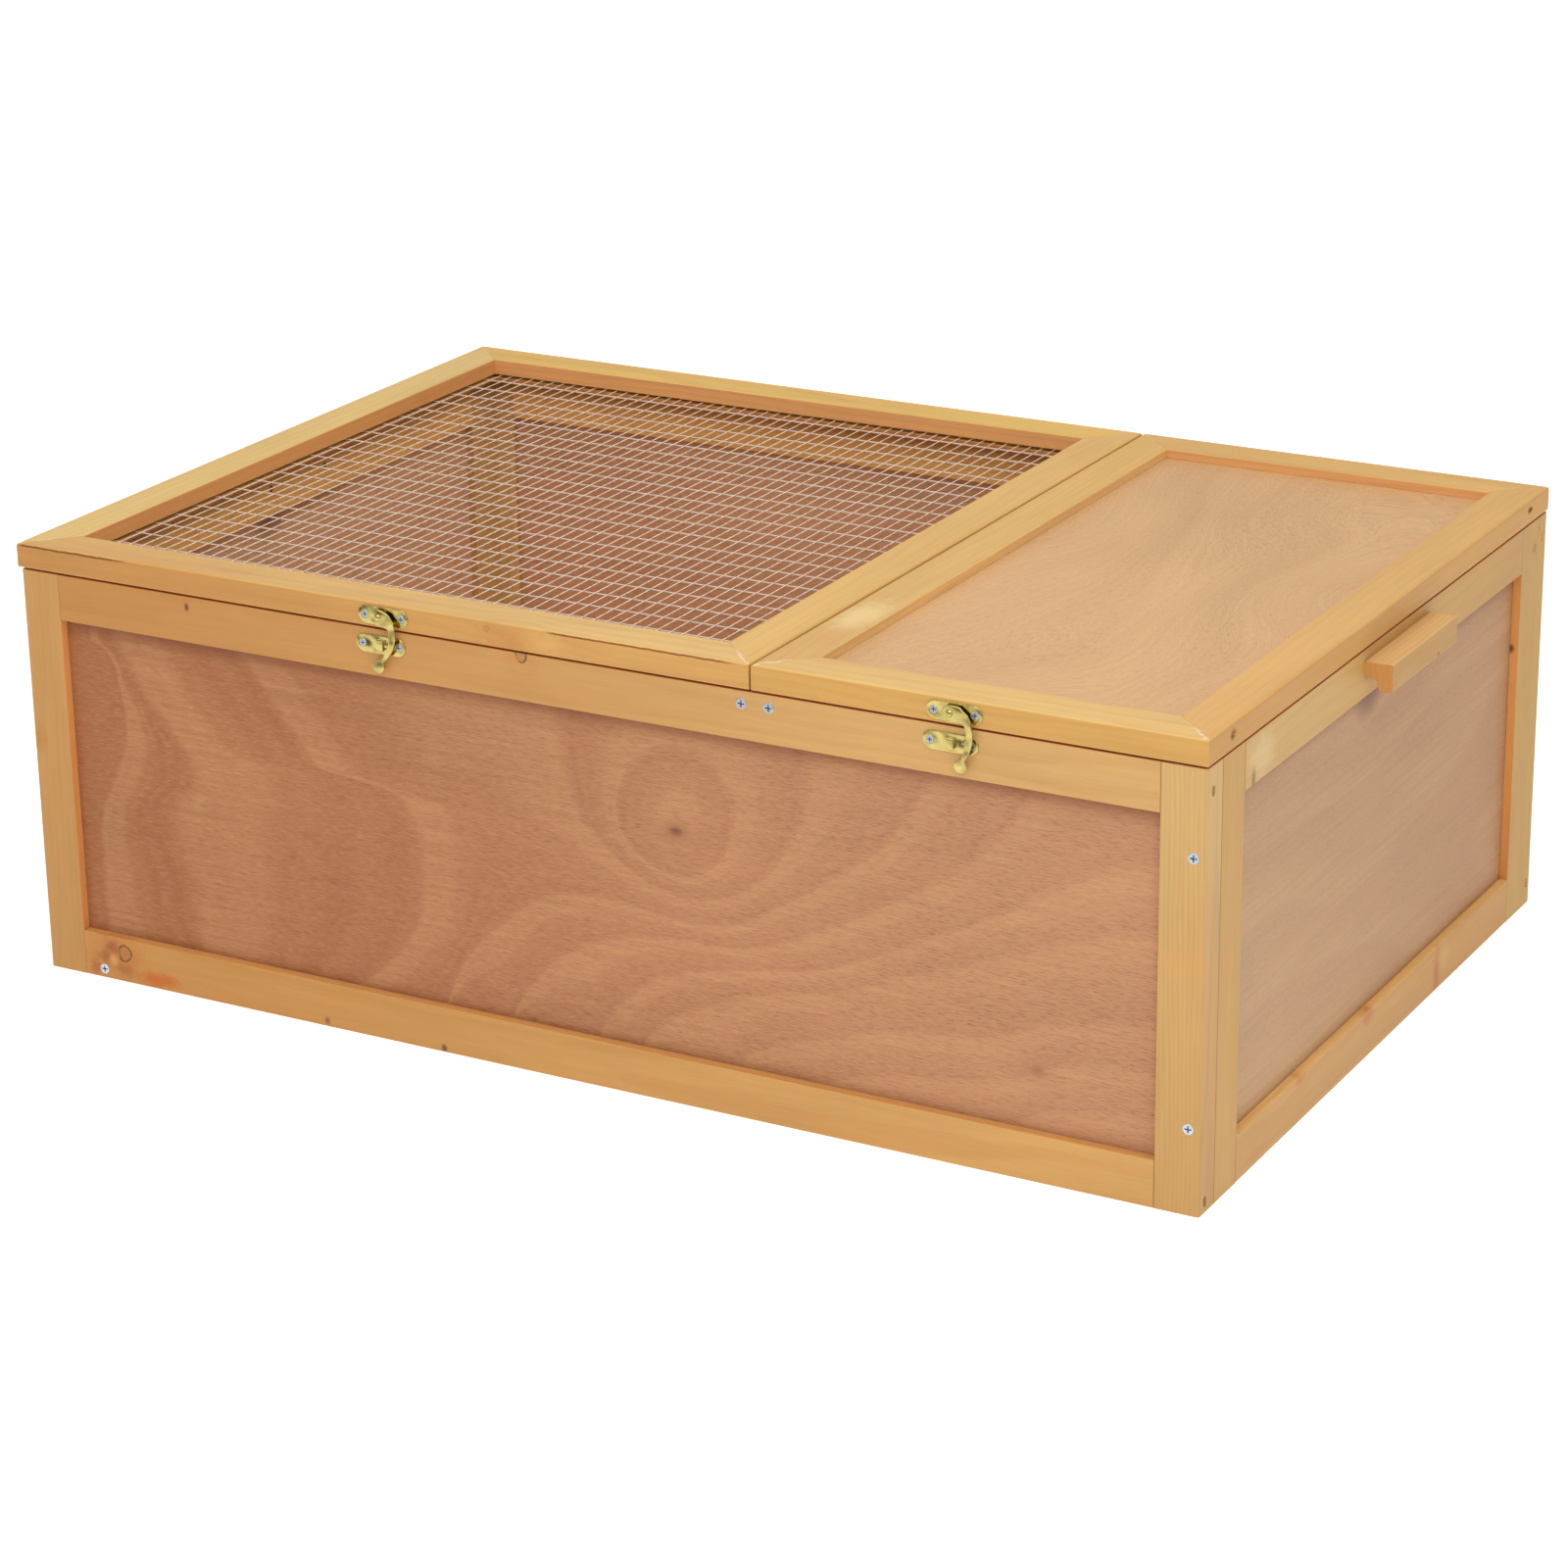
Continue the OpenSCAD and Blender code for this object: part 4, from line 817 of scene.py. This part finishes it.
def dress_front():
    """The front frame and its panel, with painted shade in the nail holes, knots and a dark smear round the
    low left screw.
    """
    seams = [("x", -FRONT_STILE_IN, SEAM, 0.5), ("x", FRONT_STILE_IN, SEAM, 0.5)]
    frame_seams = [("y", FRONT_FRAME_BACK, SEAM, 0.6)]
    inside = ("y", 1, INNER_PINE)
    pine("front_left_stile", "zxy", 1, ((183, 136, 78), (191, 143, 83)), heart=(0.09, -0.05), spacing=6,
         grain=0.10, lip=("x", 1), inside=inside, lines=frame_seams,
         stains_and_shade=[((-0.4440, FRONT_FACE, 0.1750), (0.008, 0.02, 0.012), (182, 122, 56), 0.6)])
    pine("front_right_stile", "zxy", 2, ((190, 149, 90), (201, 164, 105)), heart=(0.14, -0.02), spacing=3.2,
         grain=0.20, lip=("x", -1), inside=inside, lines=frame_seams,
         stains_and_shade=[((0.434, FRONT_FACE, 0.1680), (0.030, 0.02, 0.011), (210, 154, 88), 0.4)])
    pine("front_top_rail", "xzy", 3, ((187, 133, 72), (200, 158, 99)), heart=(0.04, -0.09), spacing=7,
         grain=0.14, lip=("z", -1), inside=inside, lines=seams,
         knots=[((-0.0393, FRONT_FACE, 0.2970), 0.0050, 1.0, 0.4)],
         # Painted shade in a nail hole.
         stains_and_shade=[((-0.308, FRONT_FACE, 0.2910), (0.0022, 0.02, 0.0034), NAIL_HOLE_SHADE, 0.9)])
    pine("front_bottom_rail", "xzy", 4, ((186, 134, 71), (197, 152, 90)), heart=(0.0, -0.035), spacing=8,
         grain=0.22, lip=("z", 1), lip_colour=(208, 148, 84), inside=inside, lines=seams,
         knots=[((-0.382, FRONT_FACE, 0.0220), 0.0062, 1.0, 0.45)],
         stains_and_shade=[((-0.390, FRONT_FACE, 0.0200), (0.024, 0.02, 0.015), (180, 112, 54), 0.80),
                 ((-0.4075, FRONT_FACE, 0.0067), (0.007, 0.02, 0.006), (168, 92, 44), 0.7),
                 ((-0.3990, FRONT_FACE, 0.0175), (0.006, 0.02, 0.007), (150, 88, 46), 0.7),
                 ((-0.3917, FRONT_FACE, 0.0243), (0.005, 0.02, 0.006), (146, 82, 50), 0.8),
                 ((-0.3820, FRONT_FACE, 0.0090), (0.009, 0.02, 0.005), (156, 94, 46), 0.7),
                 ((-0.3925, FRONT_FACE, 0.0150), (0.004, 0.02, 0.005), (206, 160, 92), 0.7),
                 ((-0.353, FRONT_FACE, 0.0070), (0.020, 0.02, 0.0060), (188, 104, 44), 1.0),
                 # Painted shade in two nail holes.
                 ((-0.113, FRONT_FACE, 0.0030), (0.0026, 0.02, 0.0028), NAIL_HOLE_SHADE, 0.85),
                 ((-0.209, FRONT_FACE, 0.0045), (0.0026, 0.02, 0.0028), NAIL_HOLE_SHADE, 0.6)])
    opening = ((-FRONT_STILE_IN, FRONT_STILE_IN), (RAIL_TOP, TOP_RAIL_UNDER))
    plywood("front_panel", "xzy", 5, ((169, 107, 66), (195, 142, 104)), (142, 74, 50), (212, 160, 110),
            dashes=0.60, bands=0.38, rings=front_rings, border=opening, inside=("y", 1, INNER_PLY),
            knots=[(*FRONT_KNOT, 0.0034, 0.70), (0.333, 0.074, 0.0040, 0.28), (-0.223, 0.137, 0.003, 0.2),
                   (-0.235, 0.119, 0.002, 0.25), (-0.090, 0.050, 0.003, 0.15)])


def dress_side(side, sign):
    """A side's frame, panel and handle. The marks given for the panel are the painted shadow that the handle
    throws.
    """
    seams = [("y", SIDE_STILE_IN, SEAM, 0.5), ("y", BACK_STILE_IN, SEAM, 0.5)]
    seed = 10 if side == "right" else 20
    inside = ("x", -sign, INNER_PINE)
    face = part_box(side + "_top_rail")[1 if sign > 0 else 0].x
    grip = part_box(side + "_handle")[0]
    pine(side + "_front_stile", "zyx", seed + 1, (196, 153, 87), heart=(0.12, 0.0), spacing=3.4, grain=0.22,
         lip=("y", 1), inside=inside, lines=[("y", FRONT_FRAME_BACK, SEAM, 0.7)])
    pine(side + "_back_stile", "zyx", seed + 2, (190, 150, 80), heart=(0.1, 0.02), spacing=4, grain=0.25,
         lip=("y", -1), lip_colour=LIP_ORANGE if side == "right" else INNER_LIP,
         inside=("x", -sign, INNER_OLIVE),
         knots=[((face, 0.2760, 0.2780), 0.0032, 0.7, 0.5), ((face, 0.2860, 0.2900), 0.0022, 0.7, 0.6)],
         stains_and_shade=[((face - 0.0065 * sign, 0.2514, 0.2090), (0.0035, 0.003, 0.0035), (84, 46, 24), 0.9)])
    pine(side + "_top_rail", "yzx", seed + 3, ((200, 162, 99), (190, 146, 82)), heart=(-0.05, 0.08 * sign),
         spacing=6, grain=0.12, lip=("z", -1), inside=inside, lines=seams,
         stains_and_shade=[((face, -0.215, 0.2800), (0.01, 0.022, 0.016), (216, 192, 138), 0.55),
                 ((face, -0.228, 0.2700), (0.01, 0.0035, 0.0075), (112, 84, 48), 0.7)])
    pine(side + "_bottom_rail", "yzx", seed + 4, ((197, 152, 90), (192, 143, 76)), heart=(0.0, 0.05 * sign),
         spacing=6, grain=0.18, lip=("z", 1), lip_colour=(238, 190, 122), inside=inside, lines=seams,
         stains_and_shade=[((face, 0.111, 0.0100), (0.01, 0.006, 0.022), (182, 110, 56), 0.85),
                 ((face, 0.126, 0.0200), (0.01, 0.012, 0.010), (196, 164, 96), 0.5),
                 ((face, -0.018, 0.0290), (0.01, 0.011, 0.006), (186, 112, 52), 0.7),
                 ((face, -0.137, 0.0300), (0.01, 0.008, 0.004), (196, 108, 52), 0.6)])
    opening = ((SIDE_STILE_IN, BACK_STILE_IN), (RAIL_TOP, TOP_RAIL_UNDER))
    plywood(side + "_panel", "yzx", seed + 5, ((183, 143, 104), (176, 132, 92)), (150, 106, 74),
            (200, 162, 120), dashes=0.45, bands=0.20, border=opening, frame_shade=1.0,
            inside=("x", -sign, INNER_PLY),
            # Painted shadow that the handle throws on the panel.
            stains_and_shade=[
                ((face, grip.y + 0.026, TOP_RAIL_UNDER - 0.008), (0.04, 0.024, 0.015), (112, 80, 56), 0.70),
                ((face, grip.y + 0.075, TOP_RAIL_UNDER - 0.003), (0.04, 0.055, 0.007), (120, 86, 60), 0.35)])
    pine(side + "_handle", "yzx", seed + 6, (216, 172, 113), upright_shade=(189, 147, 83), heart=(0.0, 0.04),
         spacing=4, grain=0.18, knots=[((face + 0.02 * sign, 0.035, 0.2740), 0.0018, 0.6, 0.8)])


def dress_back():
    """The back frame and its panel, which also show from inside, through the mesh."""
    seams = [("x", -BACK_WALL_STILE_IN, SEAM, 0.5), ("x", BACK_WALL_STILE_IN, SEAM, 0.5)]
    inside = ("y", -1, INNER_PINE)
    pine("back_left_stile", "zxy", 31, (196, 152, 86), grain=0.22, lip=("x", 1), lip_colour=INNER_LIP,
         inside=("y", -1, INNER_OLIVE))
    pine("back_right_stile", "zxy", 32, (190, 150, 80), grain=0.12, lip=("x", -1), inside=inside, mottle=0.5)
    pine("back_top_rail", "xzy", 33, (199, 147, 82), grain=0.18, lines=seams, inside=inside)
    pine("back_bottom_rail", "xzy", 34, (202, 149, 84), grain=0.22, lines=seams, inside=inside,
         knots=[((0.15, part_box("back_bottom_rail")[1].y, 0.018), 0.006, 0.6, 0.4)])
    opening = ((-BACK_WALL_STILE_IN, BACK_WALL_STILE_IN), (RAIL_TOP, TOP_RAIL_UNDER))
    plywood("back_panel", "xzy", 35, ((198, 142, 100), (190, 134, 92)), (150, 92, 62), (216, 164, 120),
            dashes=0.7, bands=0.25, border=opening, inside=("y", -1, INNER_BACK_PLY))


def dress_inside():
    """Floor, partition and the wood that carries them, plainer than the outside."""
    pale_ply = ((228, 196, 148), (190, 146, 100), (238, 212, 168))
    plywood("floor_panel", "xyz", 41, *pale_ply, dashes=0.4, bands=0.25)
    plywood("partition_panel", "yzx", 42, *pale_ply, dashes=0.4, bands=0.25)
    pine("floor_joists", "yxz", 43, PLAIN_PINE)
    pine("lid_crossbar", "yxz", 44, PLAIN_PINE)
    pine("partition_battens", "zxy", 46, PLAIN_PINE)
    pine("corner_dowels", "xyz", 47, (206, 158, 100))


def dress_lid(side):
    """A lid's four mitred members, with a smear of putty at the front corners. tops are the colours of the
    front, left, right and back member, and lips those of the front and right, the left and the back one."""
    name = side + "_lid"
    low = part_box(name + "_left_member")[0]
    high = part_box(name + "_right_member")[1]
    front_left = (low.x, low.y, -1, FRONT_PUTTY)
    front_right = (high.x, low.y, 1, FRONT_PUTTY)
    back_left = (low.x, high.y, 1, BACK_PUTTY)
    back_right = (high.x, high.y, -1, BACK_PUTTY)
    if side == "left":
        seed = 50
        mottle = 1.7
        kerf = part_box("mesh_cross_wires")[1].z + 0.0004
        lips = [(214, 150, 90), (226, 160, 98), (232, 172, 112)]
        tops = [((211, 165, 98), (218, 179, 113)), (222, 187, 116), (217, 175, 104), (222, 180, 95)]
        upright_shade = ((189, 137, 74), (202, 153, 87))
        knots = [((-0.0435, LID_FRONT, 0.3020), 0.0075, 0.04, 0.10),
                 ((-0.065, LID_FRONT, 0.3120), 0.0022, 0.3, 0.2)]
        stains_and_shade = [((-0.0520, LID_FRONT, 0.3070), (0.024, 0.01, 0.009), (190, 126, 70), 0.4),
                  ((-0.0200, LID_FRONT, 0.3090), (0.016, 0.01, 0.009), (226, 178, 110), 0.3)]
        cracks = [("z", LID_TOP - 0.0016, 0.0009, 0.85, "x", low.x, low.x + 0.10),
                  ("z", LID_TOP - 0.0016, 0.0008, 0.85, "x", -0.020, high.x - 0.004)]
    else:
        seed = 60
        mottle = 1.0
        kerf = None
        lips = [(214, 160, 98), (244, 202, 136), (232, 176, 116)]
        tops = [(219, 180, 113), ((212, 172, 105), (216, 172, 99)), ((217, 170, 102), (210, 166, 98)),
                (214, 170, 98)]
        upright_shade = (201, 155, 85)
        knots = []
        stains_and_shade = [((0.150, -0.180, LID_TOP), (0.014, 0.034, 0.01), (238, 210, 152), 0.6),
                  ((0.154, -0.230, LID_TOP), (0.010, 0.024, 0.01), (214, 156, 94), 0.45)]
        cracks = []
    front, left, right, back = tops
    brads_low, brads_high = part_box(name + "_brads")
    nail_place = (high.x, low.y + NAIL_SETBACK, (brads_low.z + brads_high.z) / 2)
    # Painted shade in the nail hole in the side of the right member.
    nail_hole = (nail_place, (0.004, 0.0045, 0.0038), NAIL_HOLE_SHADE, 0.8)
    pine(name + "_front_member", "xyz", seed + 1, front, upright_shade=upright_shade, heart=(0.03, -0.05), spacing=6,
         grain=0.14, mottle=mottle, putty=[front_left, front_right], lip=("y", 1), lip_colour=lips[0],
         kerf=kerf, knots=knots, stains_and_shade=stains_and_shade, lines=cracks)
    pine(name + "_left_member", "yxz", seed + 2, left, upright_shade=(216, 164, 96), heart=(0.06, -0.04),
         spacing=5, grain=0.10, putty=[front_left, back_left], lip=("x", 1), lip_colour=lips[1],
         kerf=kerf, stains_and_shade=stains_and_shade)
    pine(name + "_right_member", "yxz", seed + 3, right, upright_shade=(198, 149, 80), heart=(-0.05, -0.05),
         spacing=5, grain=0.10, putty=[front_right, back_right], lip=("x", -1), lip_colour=lips[0],
         kerf=kerf, stains_and_shade=[nail_hole])
    pine(name + "_back_member", "xyz", seed + 4, back, upright_shade=(214, 150, 86), heart=(0.0, -0.06), spacing=6,
         grain=0.16, putty=[back_left, back_right], lip=("y", -1), lip_colour=lips[2], kerf=kerf)


def dress_metal():
    """Zinc screws and hinges, mesh wires painted with a highlight on the long ones and duller on the cross
    ones, brass latches and sunk brads painted dark brown for the shade in their holes.
    """
    plated = {"dents": 0.02 * MM, "rounding": 0.3 * MM, "recess_shade": 0.30}
    zinc = metal("zinc_plate", ZINC, 0.22, **plated)
    # Painted light on the wires: the long ones near white as a highlight, the cross ones duller, for how
    # each catches the light.
    long_wire = metal("wire_painted_highlight", (255, 250, 236), 0.30, metallic=0.3)
    cross_wire = metal("wire_painted_dimmer", (222, 199, 180), 0.50, metallic=0.1)
    brass = metal("brass_plate", (218, 200, 126), 0.12, dents=1.4 * MM, rounding=1.0 * MM, recess_shade=0.85)
    screws = metal("inner_screws", ZINC, 0.22, **plated, varnish=(170, 124, 70))
    # Painted shade: the sunk brads are dark brown for the shade in their holes.
    brads = metal("sunk_brads", (104, 70, 44), 0.55, metallic=0.0)
    dress("case_screws", screws)
    dress("mesh_long_wires", long_wire)
    dress("mesh_cross_wires", cross_wire)
    for name in ("frame_brads", "left_lid_brads", "right_lid_brads"):
        dress(name, brads)
    for name in ("catch_screws", "case_hinge_leaves", "hinge_pins", "case_hinge_screws"):
        dress(name, zinc)
    for side in ("left", "right"):
        for part in ("_lid_hinge_leaves", "_lid_screws"):
            dress(side + part, zinc)
        for part in ("_catch_plate", "_hook_plate", "_hook_rivet", "_hook"):
            dress(side + part, brass)


make_camera()
make_world()
make_floor()
centre = (cad_box[0] + cad_box[1]) / 2
for light_name, light_place, light_size, light_power, light_colour in SOFT_BOXES:
    area_light(light_name, light_place, centre, light_size, light_power, light_colour)
dress_front()
dress_side("left", -1)
dress_side("right", 1)
dress_back()
dress_inside()
dress_lid("left")
dress_lid("right")
plywood("right_lid_panel", "yxz", 71, ((208, 165, 118), (204, 160, 112)), (176, 130, 86), (224, 184, 136),
        dashes=0.75, bands=0.16, flow=0.34)
dress_metal()
bpy.context.scene.view_settings.view_transform = "Standard"
